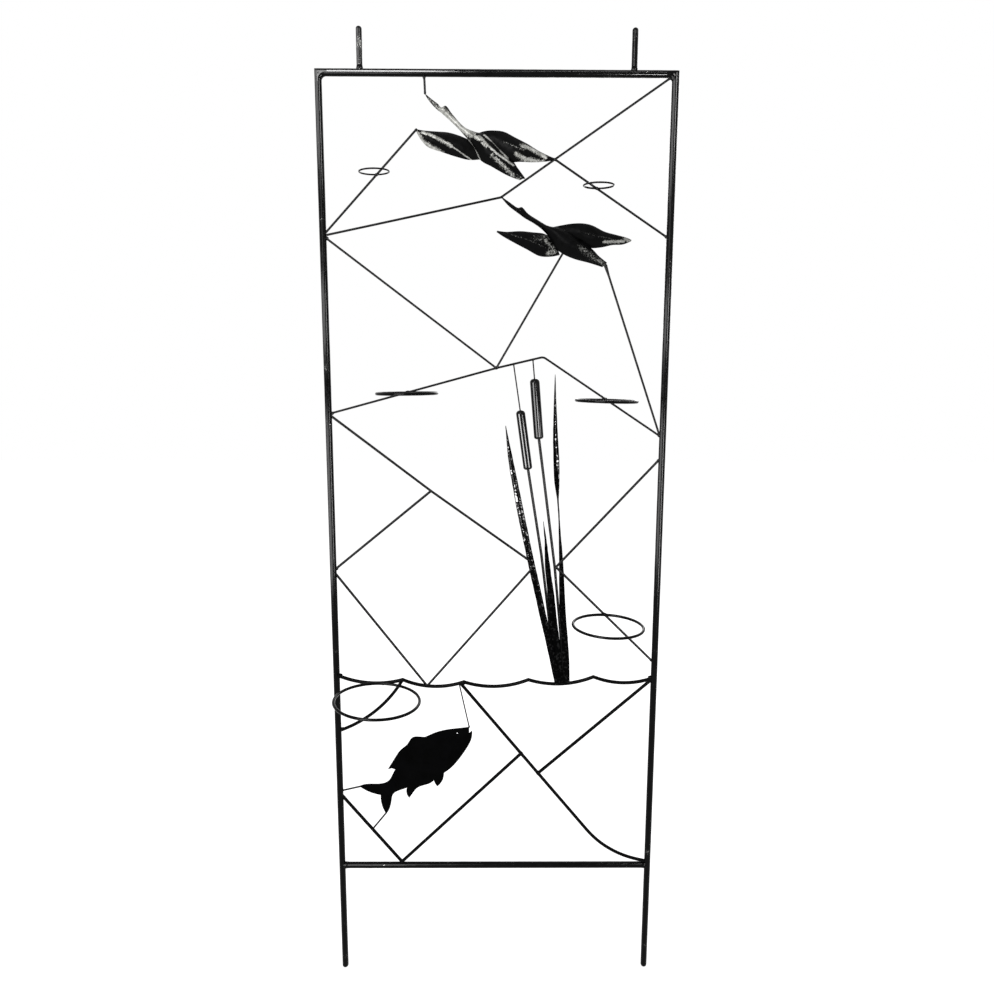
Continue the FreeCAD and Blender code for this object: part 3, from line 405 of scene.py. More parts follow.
def routeToBar(route, radius, sides, steps):
    route.data.resolution_u = steps
    route.data.splines[0].resolution_u = steps
    route.data.bevel_depth = radius
    route.data.bevel_resolution = (sides - 4) // 2
    route.data.use_fill_caps = True
    pick(route)
    bpy.ops.object.convert(target="MESH")
    return closeAndFace(bpy.context.object)


def arcBar(start, middle, end, radius, sides=20):
    # one arc through three places, as two bezier spans
    a, b = middle - start, end - start
    normal = a.cross(b)
    centre = start + (normal.cross(a) * b.length_squared + b.cross(normal) * a.length_squared) / (
        2 * normal.length_squared)
    spots = [start, middle, end]
    route = addNew(bpy.ops.curve.primitive_bezier_curve_add, location=(0, 0, 0))
    spline = route.data.splines[0]
    spline.bezier_points.add(1)
    for number, (point, spot) in enumerate(zip(spline.bezier_points, spots)):
        arm = spot - centre
        along = normal.cross(arm).normalized()
        comeIn = (spots[number - 1] - centre).angle(arm) if number else 0
        goOut = (spots[number + 1] - centre).angle(arm) if number < 2 else 0
        point.handle_left_type = point.handle_right_type = "FREE"
        point.co = spot
        point.handle_left = spot - along * arm.length * math.tan(comeIn / 4) * 4 / 3
        point.handle_right = spot + along * arm.length * math.tan(goOut / 4) * 4 / 3
    return routeToBar(route, radius, sides, 20)


frameBars = {
    "radius": 6.25 * mm, "dents": 0.25 * mm, "elbowLength": 16 * mm, "filletLine": 13.5 * mm,
    "stubBack": 9 * mm, "stubAhead": 22 * mm, "sides": 28, "elbowVoxel": 0.6 * mm,
    "stakeTip": -170 * mm, "prongX": 237 * mm, "prongRadius": 5.1 * mm, "prongTop": 1629 * mm,
    # how far above the rail's axis the prongs start, and how round a free end is as a share of the radius
    "prongSeat": 3 * mm, "endRound": 0.86,
}


def frameBar(label, node, start, end, startRound=0.0):
    bar = straightBar(start, end, frameBars["radius"], frameBars["sides"], 2.6, startRound)
    finishPiece(bar, label, [node], "frame_paint", dents=frameBars["dents"])


def buildFrame():
    size = frameBars
    for side, sign in (("left", -1), ("right", 1)):
        corner = at(side + "Corner")
        tip = Vector((corner.x, 0, size["stakeTip"]))
        frameBar(side + "PostBar", side + "_post", tip, corner - up * size["elbowLength"],
                 size["radius"] * size["endRound"])
        foot = Vector((size["prongX"] * sign, 0, corner.z + size["prongSeat"]))
        top = Vector((foot.x, 0, size["prongTop"]))
        prong = straightBar(foot, top, size["prongRadius"], 24, 2.0, 0.0, size["prongRadius"] * size["endRound"])
        finishPiece(prong, side + "ProngBar", [side + "_prong"], "prong_paint", dents=size["dents"])
    inset = Vector((size["elbowLength"], 0, 0))
    frameBar("topRailBar", "top_rail", at("leftCorner") + inset, at("rightCorner") - inset)
    frameBar("bottomRailBar", "bottom_rail", at("leftFoot"), at("rightFoot"))
    for side, sign in (("left", -1), ("right", 1)):
        # mitred elbow with the inner corner filled by weld, one fused lump
        corner = at(side + "Corner")
        inward, down = Vector((-sign, 0, 0)), Vector((0, 0, -1))
        parts = []
        for arm, other in ((inward, down), (down, inward)):
            stub = straightBar(corner - arm * size["stubBack"], corner + arm * size["stubAhead"], size["radius"],
                               size["sides"], 2.0)
            editAll(stub)
            bpy.ops.mesh.bisect(plane_co=corner, plane_no=(arm - other).normalized(), use_fill=True, clear_inner=True)
            bpy.ops.object.mode_set(mode="OBJECT")
            parts.append(stub)
        across, drop = inward * size["filletLine"], down * size["filletLine"]
        middle = corner + (across + drop) * (1 - math.sqrt(0.5))
        parts.append(arcBar(corner + across, middle, corner + drop, size["radius"], size["sides"]))
        elbow = fuse(joinAll(parts), size["elbowVoxel"], 4)
        finishPiece(elbow, side + "CornerWeld", [], "frame_paint", 80, size["dents"])
    print("frame bars and corner welds done")


netBars = {
    "rodRadius": 3.25 * mm, "netRadius": 1.95 * mm, "kiteRadius": 2.35 * mm, "wireRadius": 1.25 * mm,
    "tailWireRadius": 1.7 * mm, "stemRadius": 2.65 * mm, "waveRadius": 3.5 * mm, "waveSag": 11.4 * mm,
    "waveVoxel": 0.55 * mm, "rodDents": 0.12 * mm, "netDents": 0.04 * mm,
}


def buildRods():
    size = netBars
    rod, net, kite, tail = (size[name + "Radius"] for name in ("rod", "net", "kite", "tailWire"))
    # waterline: five scallops between their cusps
    cusps = ["waveLeft", "waveTwo", "waveThree", "waveFour", "waveFive", "waveRight"]
    scallops = []
    for before, after in zip(cusps, cusps[1:]):
        low = (at(before) + at(after)) / 2 - up * size["waveSag"]
        scallops.append(arcBar(at(before), low, at(after), size["waveRadius"]))
    for name in cusps[1:-1]:
        scallops.append(addNew(bpy.ops.mesh.primitive_uv_sphere_add, segments=20, ring_count=12,
                               radius=size["waveRadius"], location=at(name)))
    wave = fuse(joinAll(scallops), size["waveVoxel"], 3)
    finishPiece(wave, "waterlineRail", ["wave_rail"], "rod_paint", 80, size["rodDents"])
    heavy = {
        "shoreBar": ("shore_rod", arcBar(at("waveTwo"), at("shoreMiddle"), at("shoreEnd"), rod)),
        "sweepBar": ("long_diagonal", bentBar([at("sweepTop"), at("sweepBend"), at("sweepEnd")], rod, [0.19])),
        "steepBar": ("right_diagonal", straightBar(at("waveRight"), at("sweepRight"), rod, 20)),
        "cornerBar": ("left_corner_rod", straightBar(at("cornerTop"), at("cornerFoot"), rod, 20)),
        "risingBar": ("rising_rod", straightBar(at("risingFoot"), at("sweepRising"), rod, 20)),
    }
    for label, (node, bar) in heavy.items():
        finishPiece(bar, label, [node], "rod_paint", dents=size["rodDents"])
    thin = {
        # the knots that it joins, its radius and its bend radii in metres
        "ridgeBar": ("ridge_rod", ["leftMid", "heart", "peak", "rightMid"], net, [0.06, 0.012]),
        "cloudBar": ("cloud_rod", ["leftHigh", "cloudBend", "rightCorner"], net, [0.012]),
        "slopeBar": ("left_slope_rod", ["leftMid", "slopeBend", "bladeHigh"], kite, [0.06]),
        "veeBar": ("right_v_rod", ["rightUpperV", "vPoint", "rightLowerV"], kite, [0.003]),
        "valleyBar": ("valley_rod", ["leftHigh", "heart"], net, []),
        "leftWingBar": ("left_wing_rod", ["leftHigh", "leftWingTip"], net, []),
        "rightWingBar": ("right_wing_rod", ["wingRodStart", "rightHigh"], net, []),
        "beakBar": ("beak_rod", ["beakTop", "upperBeak"], net, []),
        "bellyBar": ("belly_rod", ["heart", "lowerBelly"], net, []),
        "tailBar": ("tail_rod", ["lowerTail", "tailRodEnd"], net, []),
        "kiteUpperBar": ("kite_upper_rod", ["slopeBend", "leftLow"], kite, []),
        "kiteLowerBar": ("kite_lower_rod", ["leftLow", "kiteFoot"], kite, []),
        "kiteRiseBar": ("kite_rise_rod", ["kiteFoot", "bladeLow"], kite, []),
    }
    for label, (node, names, radius, bends) in thin.items():
        corners = [at(name) for name in names]
        bar = bentBar(corners, radius, bends, 16) if bends else straightBar(*corners, radius, 16, 3.5)
        finishPiece(bar, label, [node], "net_paint", dents=size["netDents"])
    fine = {
        "mouthWire": ("fish_mouth_wire", "fishWireTop", "fishMouth", size["wireRadius"]),
        "tailWireUpper": ("fish_tail_wire_upper", "fishWirePost", "fishTail", tail),
        "tailWireLower": ("fish_tail_wire_lower", "fishLow", "fishTailFoot", tail),
    }
    for label, (node, start, end, radius) in fine.items():
        finishPiece(straightBar(at(start), at(end), radius, 14, 3.0), label, [node], "net_paint")
    print("net, rods and wires done")


buildFrame()
buildRods()


reeds = {
    "leftHeadRadius": 8.4 * mm, "rightHeadRadius": 8.9 * mm, "headLength": 111 * mm, "headWaver": 0.4 * mm,
    "shoulder": 4.6 * mm, "dome": 6.4 * mm, "leftTilt": -8.1, "rightTilt": -4.85, "stemBend": 60 * mm,
    # blades: how thick the rim is and how high and wide the rib stands, as shares
    "bladeThickness": 3 * mm, "bladeDents": 0.6 * mm, "rim": 0.16, "ribHeight": 0.22, "ribWidth": 0.22,
    # stems: x, z and y in mm
    "leftStem": [(59.8, 866.9, 0), (86.5, 704.3, 0), (102.3, 580.3, 3.0), (119.8, 446.3, 5.4)],
    "rightStem": [(79.4, 923.8, 0), (84.7, 884.8, 0), (112.2, 680.1, 0), (127.6, 524.9, 0), (135.2, 446.3, 0)],
    # blades: height, lean and width in mm, then rows of height, lean, depth in thicknesses, width and turn
    "leftBlade": (502, -110, 12, [
        (0.0, 0.057, -1.4, 0.92, 0), (0.18, 0.229, -1.0, 1.09, 0), (0.267, 0.324, -0.7, 1.11, 0),
        (0.353, 0.411, -0.35, 1.1, 0), (0.44, 0.503, -0.05, 1.1, 0), (0.52, 0.585, 0.0, 1.06, 0),
        (0.605, 0.667, 0.0, 1.06, 0), (0.672, 0.732, 0.0, 1.06, 0), (0.82, 0.865, 0.0, 0.88, 0),
        (0.895, 0.927, 0.0, 0.64, 0), (1.0, 1.0, 0.0, 0.08, 0)]),
    "middleBlade": (322, -38, 14.8, [
        (0.0, 0.0, 0.0, 1.0, 0), (0.145, 0.15, 0.0, 1.12, 0), (0.28, 0.31, 0.0, 1.08, 0),
        (0.415, 0.455, 0.0, 1.0, 0), (0.55, 0.565, 0.0, 0.87, 0), (0.683, 0.715, 0.0, 0.72, 0),
        (0.75, 0.775, 0.0, 0.62, 0), (0.815, 0.83, 0.0, 0.44, 0), (0.88, 0.87, 0.0, 0.29, 0),
        (1.0, 1.0, 0.0, 0.08, 0)]),
    "rightBlade": (596, -28, 12.5, [
        (0.0, -0.4, -1.4, 0.92, 0), (0.078, -0.33, -1.33, 1.02, 0), (0.152, -0.21, -0.6, 1.02, 0),
        (0.238, -0.06, 0.83, 0.99, 5), (0.341, 0.04, 1.73, 0.86, 15), (0.391, 0.08, 1.87, 0.78, 25),
        (0.441, 0.14, 1.8, 0.72, 38), (0.49, 0.21, 1.6, 0.66, 55), (0.565, 0.31, 1.33, 0.64, 80),
        (0.614, 0.4, 1.0, 0.68, 108), (0.663, 0.47, 0.67, 0.87, 145), (0.735, 0.54, 0.33, 0.88, 170),
        (0.827, 0.635, 0.17, 0.67, 180), (0.928, 0.685, 0.0, 0.32, 180), (1.0, 0.7, 0.0, 0.08, 180)]),
}


def between(rows, share):
    # a smooth row at a share of the way through a table
    place = share * (len(rows) - 1)
    step = min(int(place), len(rows) - 2)
    t = place - step
    before, here = rows[max(step - 1, 0)], rows[step]
    there, after = rows[step + 1], rows[min(step + 2, len(rows) - 1)]
    values = []
    for p0, p1, p2, p3 in zip(before, here, there, after):
        slopeHere, slopeThere = (p2 - p0) / 2, (p3 - p1) / 2
        values.append((2 * t ** 3 - 3 * t ** 2 + 1) * p1 + (t ** 3 - 2 * t ** 2 + t) * slopeHere
                      + (3 * t ** 2 - 2 * t ** 3) * p2 + (t ** 3 - t ** 2) * slopeThere)
    return values


def leaf(label, node, table, rings=150, sides=24):
    # a tall cylinder whose rings are drawn out into a beaten leaf: a flat lens with a low rib
    height, lean, width, rows = table
    blade = addNew(bpy.ops.mesh.primitive_cylinder_add, vertices=sides, radius=1, depth=2, end_fill_type="TRIFAN")
    bpy.ops.object.mode_set(mode="EDIT")
    selectEdges(blade, lambda edge: abs(edge.verts[0].co.z - edge.verts[1].co.z) > 1)
    bpy.ops.mesh.subdivide(number_cuts=rings)
    bpy.ops.object.mode_set(mode="OBJECT")
    foot = at("reedFoot")
    for vertex in blade.data.vertices:
        share = (vertex.co.z + 1) / 2
        rise, leanShare, depth, widthShare, turn = between(rows, share)
        turn, widthShare = math.radians(turn), max(widthShare, 0.05)
        across = Vector((math.cos(turn), math.sin(turn), 0))
        through = Vector((-math.sin(turn), math.cos(turn), 0))
        half = width * widthShare / 2 * mm
        thick = reeds["bladeThickness"] / 2 * math.sqrt(widthShare)
        side, away = vertex.co.x, vertex.co.y
        rim = reeds["rim"] + (1 - reeds["rim"]) * (1 - side * side)
        rib = reeds["ribHeight"] * math.exp(-(side / reeds["ribWidth"]) ** 2)
        vertex.co = (foot + Vector((lean * leanShare * mm, depth * reeds["bladeThickness"], height * rise * mm))
                     + across * side * half + through * math.copysign(rim + rib, away) * min(abs(away) * 3, 1) * thick)
    dent(blade, hammerFace, reeds["bladeDents"], 0.4)
    closeAndFace(blade)
    return finishPiece(blade, label, [node], "hammered_blade", 60)


def buildReeds():
    size = reeds
    for side in ("left", "right"):
        tilt = math.radians(size[side + "Tilt"])
        foot = at(side + "Head")
        top = foot + Vector((math.sin(tilt), 0, math.cos(tilt))) * size["headLength"]
        head = straightBar(foot, top, size[side + "HeadRadius"], 48, 3.0, size["shoulder"], size["dome"])
        dent(head, handWaver, size["headWaver"])
        finishPiece(head, side + "CattailHead", [side + "_cattail_head"], "cattail_gloss")
        sunk = top - (top - foot).normalized() * 2 * mm
        wire = straightBar(sunk, at(side + "TipTop"), netBars["wireRadius"], 14, 3.0)
        finishPiece(wire, side + "TipWire", [side + "_tip_wire"], "net_paint")
        stemLine = [Vector((x, y, z)) * mm for x, z, y in size[side + "Stem"]]
        stem = bentBar(stemLine, netBars["stemRadius"], [size["stemBend"]] * (len(stemLine) - 2), 20, 3.0)
        # the stems are as glossy as the heavier rods
        finishPiece(stem, side + "Stem", [side + "_stem"], "net_paint", 50, netBars["rodDents"], finishes["rod_paint"])
    for side in ("left", "middle", "right"):
        leaf(side + "Leaf", side + "_blade", size[side + "Blade"])
    print("reeds done")


fish = {
    "rimBevel": 0.45 * mm, "eye": Vector((-75.03, 0, 343.88)) * mm,
    # paint that has pooled round the drilled eye
    "eyeRing": 2.1 * mm, "eyeRingWire": 1.0 * mm,
}


def buildFish():
    plate = frame["nodes"]["fish_plate"].copy()
    plate.data = plate.data.copy()
    plate.parent = None
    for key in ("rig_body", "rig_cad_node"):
        if key in plate:
            del plate[key]
    bpy.context.scene.collection.objects.link(plate)
    editAll(plate)
    bpy.ops.mesh.remove_doubles(threshold=0.02 * mm)
    bpy.ops.mesh.dissolve_limited(angle_limit=math.radians(4))
    bpy.ops.object.mode_set(mode="OBJECT")
    addModifier(plate, "BEVEL", width=fish["rimBevel"], segments=3, limit_method="ANGLE", angle_limit=math.radians(50))
    ring = addNew(bpy.ops.mesh.primitive_torus_add, major_segments=32, minor_segments=12,
                  major_radius=fish["eyeRing"], minor_radius=fish["eyeRingWire"], location=fish["eye"],
                  rotation=(math.radians(90), 0, 0))
    finishPiece(joinAll([plate, settle(ring)]), "fishCutPlate", ["fish_plate"], "fish_paint", 40)
    print("fish done")


hoops = {
    # centre in mm, ring radius, wire radius, droop and lean to the right in degrees, and the weld's place beside
    # the middle and above it
    "candle_ring_left": ((-211.5, -28.8, 1385.7), 25.6, 1.4, 3.3, -1.5, 0.0, 0.0),
    "candle_ring_right": ((176.2, -28.8, 1364.7), 26.0, 1.6, 2.8, 0.0, 0.0, 0.2),
    "pot_ring_mid_left": ((-157.7, -57.1, 1007.8), 52.75, 2.7, 0.5, -0.6, -4.0, 0.6),
    "pot_ring_mid_right": ((194.5, -57.4, 995.6), 53.3, 2.7, 0.5, 1.25, 4.5, 1.4),
    "pot_ring_low_right": ((206.0, -68.6, 586.2), 64.2, 2.7, 1.0, 1.6, 2.0, 0.6),
    "pot_ring_low_left": ((-218.5, -83.4, 448.0), 78.2, 2.7, 0.3, 2.7, 0.0, 0.0),
}


def buildHoops():
    for node, (centre, radius, wire, droop, lean, *seat) in hoops.items():
        kind, place = node.split("_ring_")
        hoop = addNew(bpy.ops.mesh.primitive_torus_add, major_segments=int(80 + radius), minor_segments=18,
                      major_radius=radius * mm, minor_radius=wire * mm, location=Vector(centre) * mm,
                      rotation=(math.radians(droop), math.radians(lean), 0))
        dent(settle(hoop), handWaver, 0.4 * mm)
        label = kind + "Hoop" + place.title().replace("_", "")
        finishPiece(hoop, label, [node], "ring_paint", dents=0.1 * wire * mm)
    print("rings done")


# sheets beaten into shape and chased with veins and feather lines, with highlights painted along them
birds = {
    "sheet": 1.6 * mm, "bodyCrown": 13 * mm, "wingCrown": 9 * mm, "beating": 0.35 * mm, "rimBevel": 0.35 * mm,
    # how far the eye stands up and how wide its dome is, in mm
    "eyeRise": 1.1, "eyeWidth": 2.4,
    # beak, span and height in mm
    "upper": ((-124.8, 1522.1), 243, 142), "lower": ((8.0, 1350.9), 239, 120),
}
# rows of a sheet: lower edge across and up, upper edge across and up, and crown, as shares
birdRows = {
    "upper_bird_body": [
        (-0.005, 0.0, 0.005, -0.01, 0.02), (0.02, -0.07, 0.045, -0.065, 0.12), (0.055, -0.14, 0.09, -0.12, 0.18),
        (0.09, -0.195, 0.115, -0.16, 0.14), (0.115, -0.225, 0.15, -0.145, 0.2), (0.15, -0.275, 0.195, -0.24, 0.16),
        (0.22, -0.38, 0.275, -0.38, 0.22), (0.29, -0.505, 0.355, -0.44, 0.4), (0.345, -0.62, 0.435, -0.475, 0.75),
        (0.395, -0.77, 0.515, -0.605, 1.0), (0.48, -0.85, 0.625, -0.77, 0.85), (0.585, -0.945, 0.665, -0.86, 0.45),
        (0.68, -1.005, 0.72, -0.98, 0.12)],
    "upper_bird_left_wing": [
        (-0.07, -0.425, -0.065, -0.41, 0.03), (-0.035, -0.53, -0.01, -0.425, 0.35), (0.02, -0.62, 0.075, -0.435, 0.75),
        (0.115, -0.675, 0.16, -0.445, 1.0), (0.22, -0.73, 0.24, -0.48, 1.0), (0.31, -0.765, 0.31, -0.53, 0.65),
        (0.395, -0.76, 0.355, -0.59, 0.15)],
    "upper_bird_right_wing": [
        (0.36, -0.55, 0.365, -0.46, 0.1), (0.42, -0.585, 0.425, -0.428, 0.3), (0.475, -0.615, 0.49, -0.42, 0.45),
        (0.535, -0.71, 0.565, -0.435, 0.8), (0.605, -0.785, 0.645, -0.5, 1.0), (0.685, -0.785, 0.735, -0.575, 0.85),
        (0.78, -0.79, 0.81, -0.65, 0.55), (0.87, -0.78, 0.885, -0.71, 0.25), (0.935, -0.76, 0.94, -0.745, 0.03)],
    "lower_bird_body": [
        (-0.005, 0.005, 0.005, 0.005, 0.02), (0.05, -0.115, 0.065, -0.075, 0.12), (0.11, -0.205, 0.12, -0.145, 0.18),
        (0.125, -0.225, 0.155, -0.14, 0.35), (0.175, -0.295, 0.2, -0.23, 0.3), (0.235, -0.36, 0.265, -0.31, 0.38),
        (0.295, -0.44, 0.35, -0.4, 0.5), (0.345, -0.54, 0.435, -0.425, 0.7), (0.39, -0.69, 0.51, -0.485, 0.9),
        (0.46, -0.8, 0.595, -0.6, 1.0), (0.55, -0.875, 0.685, -0.735, 0.85), (0.66, -0.93, 0.73, -0.825, 0.5),
        (0.76, -0.99, 0.795, -0.925, 0.12)],
    "lower_bird_left_wing": [
        (-0.035, -0.49, -0.03, -0.47, 0.03), (0.02, -0.56, 0.04, -0.485, 0.3), (0.105, -0.65, 0.14, -0.475, 0.7),
        (0.195, -0.74, 0.235, -0.49, 1.0), (0.285, -0.83, 0.32, -0.51, 1.0), (0.37, -0.84, 0.37, -0.575, 0.65),
        (0.44, -0.815, 0.415, -0.685, 0.15)],
    "lower_bird_right_wing": [
        (0.39, -0.5, 0.395, -0.41, 0.1), (0.455, -0.53, 0.46, -0.385, 0.3), (0.525, -0.56, 0.525, -0.365, 0.45),
        (0.59, -0.635, 0.605, -0.36, 0.8), (0.655, -0.71, 0.68, -0.39, 1.0), (0.745, -0.705, 0.77, -0.475, 0.85),
        (0.83, -0.67, 0.855, -0.52, 0.55), (0.91, -0.66, 0.935, -0.56, 0.25), (0.97, -0.615, 0.975, -0.595, 0.03)],
}
# chased lines: places in mm, half width in mm, how far it stands up in mm, how bright the highlight painted along it
# is
birdLines = {
    "upper_bird_body": [
        ([(-122.4, 1519), (-99.6, 1493.1)], 4, 0.3, 0.42),
        ([(-97, 1495), (-79.1, 1478.4), (-62.2, 1464.8), (-44, 1455)], 8, 0.5, 1.0),
        ([(-62.2, 1462.5), (-53.5, 1446)], 4.5, 0.3, 0.55),
        ([(-22.1, 1453.6), (-3.8, 1439.9), (18.3, 1414.6)], 2.4, 0.9, 1.0),
        ([(-30.5, 1449.5), (-16.0, 1434.0), (-1.3, 1421.4), (28.2, 1403.5)], 2.6, 0.9, 0.9),
        ([(-37.9, 1448.9), (-30.6, 1444.3)], 3.4, 0.3, 1.0),
        ([(-26.0, 1438.5), (-18.0, 1431.0)], 2.2, 0.2, 0.8),
        ([(-48.9, 1444.3), (-37.9, 1428.2), (-28.2, 1409.7)], 1.6, 0.3, 0.9),
        ([(-8.6, 1416.8), (8.6, 1402.9), (28.3, 1386.7)], 4, 0.7, 0.62),
        ([(28, 1387), (46, 1377)], 5, 0.0, 0.4)],
    "upper_bird_left_wing": [
        ([(-130.4, 1457.6), (-118.2, 1454.3), (-101.3, 1445.2), (-79.4, 1433.8)], 3.2, 1.4, 0.9),
        ([(-79.4, 1433.8), (-62.4, 1423.5), (-42.9, 1412.0), (-34, 1407)], 1.3, 1.4, 0.85),
        ([(-140, 1456), (-130.6, 1441.6), (-113.6, 1431.1), (-96.6, 1423)], 5.4, 0.0, 1.0)],
    "upper_bird_right_wing": [
        ([(10.9, 1442.2), (32.9, 1433.1), (48.8, 1427)], 1.6, 1.0, 0.35),
        ([(44.0, 1436.5), (59.8, 1431.0), (84.9, 1418.5)], 4.6, 0.8, 0.8),
        ([(33.4, 1421.6), (50.2, 1413.6), (80.7, 1409.7)], 4.4, 0.8, 0.8)],
    "lower_bird_body": [
        ([(120.5, 1298.0), (127.7, 1295.1)], 2.2, 0.2, 0.7),
        ([(133.8, 1294.2), (158.6, 1278.7)], 1.2, 0.8, 0.4),
        ([(146.6, 1264.9), (175.6, 1245.4)], 6, 0.6, 0.42),
        ([(181.8, 1243.4), (196.4, 1233.6)], 4.5, 0.0, 0.5)],
    "lower_bird_left_wing": [
        ([(18, 1290), (60, 1276), (92, 1262)], 1.5, 1.2, 0.2),
        ([(70.9, 1281.2), (88.2, 1283.2)], 8, 0.4, 0.34),
        ([(87.4, 1277.5), (99.7, 1264.7)], 6, 0.3, 0.44),
        ([(91.7, 1255.9), (104.0, 1257.9)], 5, 0.6, 0.6)],
    "lower_bird_right_wing": [
        ([(150, 1292), (180, 1284), (205, 1280)], 1.5, 1.0, 0.2),
        ([(191.2, 1274.9), (209.6, 1275.9), (225.9, 1277.0)], 3, 0.5, 0.85),
        ([(229.8, 1281.5), (242, 1277.0)], 5, 0.0, 0.85)],
}
birdEyes = {"upper_bird_body": (-89.9, 1494.0), "lower_bird_body": (41.1, 1327.8)}


def nearLine(x, z, line):
    best = 1e9
    for (x1, z1), (x2, z2) in zip(line, line[1:]):
        length = (x2 - x1) ** 2 + (z2 - z1) ** 2
        t = min(1, max(0, ((x - x1) * (x2 - x1) + (z - z1) * (z2 - z1)) / length))
        best = min(best, math.hypot(x - x1 - t * (x2 - x1), z - z1 - t * (z2 - z1)))
    return best


def beatenSheet(node, label, slot, along=170, across=46):
    # a grid laid on the sheet's outline, bowed to the front, with its chased lines raised and highlights painted along
    # them
    kind = node.split("_")[0]
    (beakX, beakZ), span, height = birds[kind]
    isBody = node.endswith("body")
    crown = birds["bodyCrown" if isBody else "wingCrown"]
    rear = birds["sheet"] * (-0.5 if isBody else 0.5)
    sheet = addNew(bpy.ops.mesh.primitive_grid_add, x_subdivisions=along, y_subdivisions=across, size=2)
    rub = sheet.data.attributes.new("paintedHighlight", "FLOAT", "POINT")
    values = []
    for vertex in sheet.data.vertices:
        u, v = (vertex.co.x + 1) / 2, (vertex.co.y + 1) / 2
        lowX, lowZ, highX, highZ, crownShare = between(birdRows[node], u)
        x = beakX + span * (lowX + (highX - lowX) * v)
        z = beakZ + height * (lowZ + (highZ - lowZ) * v)
        y = rear / mm - crown / mm * crownShare * (1 - (2 * v - 1) ** 2)
        paintedHighlight = 0.0
        edge = min(v, 1 - v, u * 6, (1 - u) * 6)
        # each chased line raises the sheet, and a highlight is painted in grey along it
        for line, half, rise, highlightStrength in birdLines[node]:
            gap = nearLine(x, z, line)
            y -= rise * max(0, 1 - gap / (half * 1.5)) * min(1, edge * 12)
            paintedHighlight = max(paintedHighlight, highlightStrength * min(1, max(0, 1.35 - gap / half)))
        # a raised eye: round the upper eye the painted highlight is dimmed, and the lower eye gets a painted glint
        if node in birdEyes:
            gap = math.hypot(x - birdEyes[node][0], z - birdEyes[node][1])
            y -= birds["eyeRise"] * math.exp(-(gap / birds["eyeWidth"]) ** 2)
            if kind == "upper" and 1.1 < gap < 2.0:
                paintedHighlight *= 0.55
            elif kind == "lower":
                paintedHighlight = max(paintedHighlight, 0.9 * max(0, 1 - gap / 1.6))
        y += birds["beating"] / mm * noise.noise(Vector((x, y, z)) * 0.16) * min(1, edge * 8)
        vertex.co = Vector((x, y, z)) * mm
        values.append(paintedHighlight)
    rub.data.foreach_set("value", values)
    editAll(sheet)
    mesh = bmesh.from_edit_mesh(sheet.data)
    if sum(face.normal.y * face.calc_area() for face in mesh.faces) > 0:
        bpy.ops.mesh.flip_normals()
    bpy.ops.object.mode_set(mode="OBJECT")
    addModifier(sheet, "SOLIDIFY", thickness=birds["sheet"], offset=-1, use_even_offset=False)
    addModifier(sheet, "BEVEL", width=birds["rimBevel"], segments=2, limit_method="ANGLE",
                angle_limit=math.radians(60))
    return finishPiece(sheet, label, [node], slot, 45)


def buildBirds():
    for kind in ("upper", "lower"):
        for part, label in (("body", "Body"), ("left_wing", "LeftWing"), ("right_wing", "RightWing")):
            beatenSheet(f"{kind}_bird_{part}", f"{kind}Bird{label}", f"{kind}_bird_paint")
    print("birds done")


buildReeds()
buildFish()
buildHoops()
buildBirds()


# welds: at each joint a ball of weld metal and a flare up each bar, fused and rippled
welds = {
    "voxelShare": 1 / 8, "ripple": 0.1, "prongFootZ": 1561 * mm,
    # ring seats: the ball in mm before its wire's share, and the way its two arms leave it, aside and ahead
    "seatBall": 2.2, "seatArm": (9, -1.2),
    # the lower bird's tail is drawn out along its rod: how wide and how long
    "tailTaper": (3.4 * mm, 22 * mm),
    # x, y and z in mm of the beads at the stems' feet, and of the bend that each stem comes from
    "stemFeet": [((135.2, 0, 449), (127.6, 0, 524.9)), ((119.8, 4.6, 449), (102.3, 3.0, 580.3))],
}


def weldLump(spot, ball, arms):
    # arms: where each bar goes and its radius, and for a long taper its flare and reach too
    parts = [addNew(bpy.ops.mesh.primitive_uv_sphere_add, segments=16, ring_count=10, radius=ball, location=spot)]
    for target, radius, *taper in arms:
        heading = (target - spot).normalized()
        wide, reach = taper or (min(radius * 1.3 + 0.0008, ball * 1.1), radius * 0.9 + 0.002)
        parts.append(addNew(bpy.ops.mesh.primitive_cone_add, vertices=18, radius1=wide, radius2=radius * 0.98,
                            depth=reach, location=spot + heading * reach / 2, rotation=turnFromUp(heading)))
    return dent(fuse(joinAll(parts), ball * welds["voxelShare"], 5), beadRipple, ball * welds["ripple"])


def outOf(name, towards):
    # where a bar that starts on a post's axis leaves the post
    start, end = at(name), at(towards)
    return start.lerp(end, frameBars["radius"] / abs(end.x - start.x))


def alongTo(name, towards, distanceMm):
    return at(name) + (at(towards) - at(name)).normalized() * distanceMm * mm


def armsTo(radius, *knotNames):
    # a knot may come with a step across and up from it, in mm
    steps = [name if isinstance(name, tuple) else (name, 0, 0) for name in knotNames]
    return [(at(name) + Vector((across * mm, 0, rise * mm)), radius) for name, across, rise in steps]


def weldGroup(label, nodes, lumps, slot):
    group = joinAll([weldLump(at(spot) if isinstance(spot, str) else spot, ball * mm, arms)
                     for spot, ball, arms in lumps])
    return finishPiece(group, label, nodes, slot, 80)


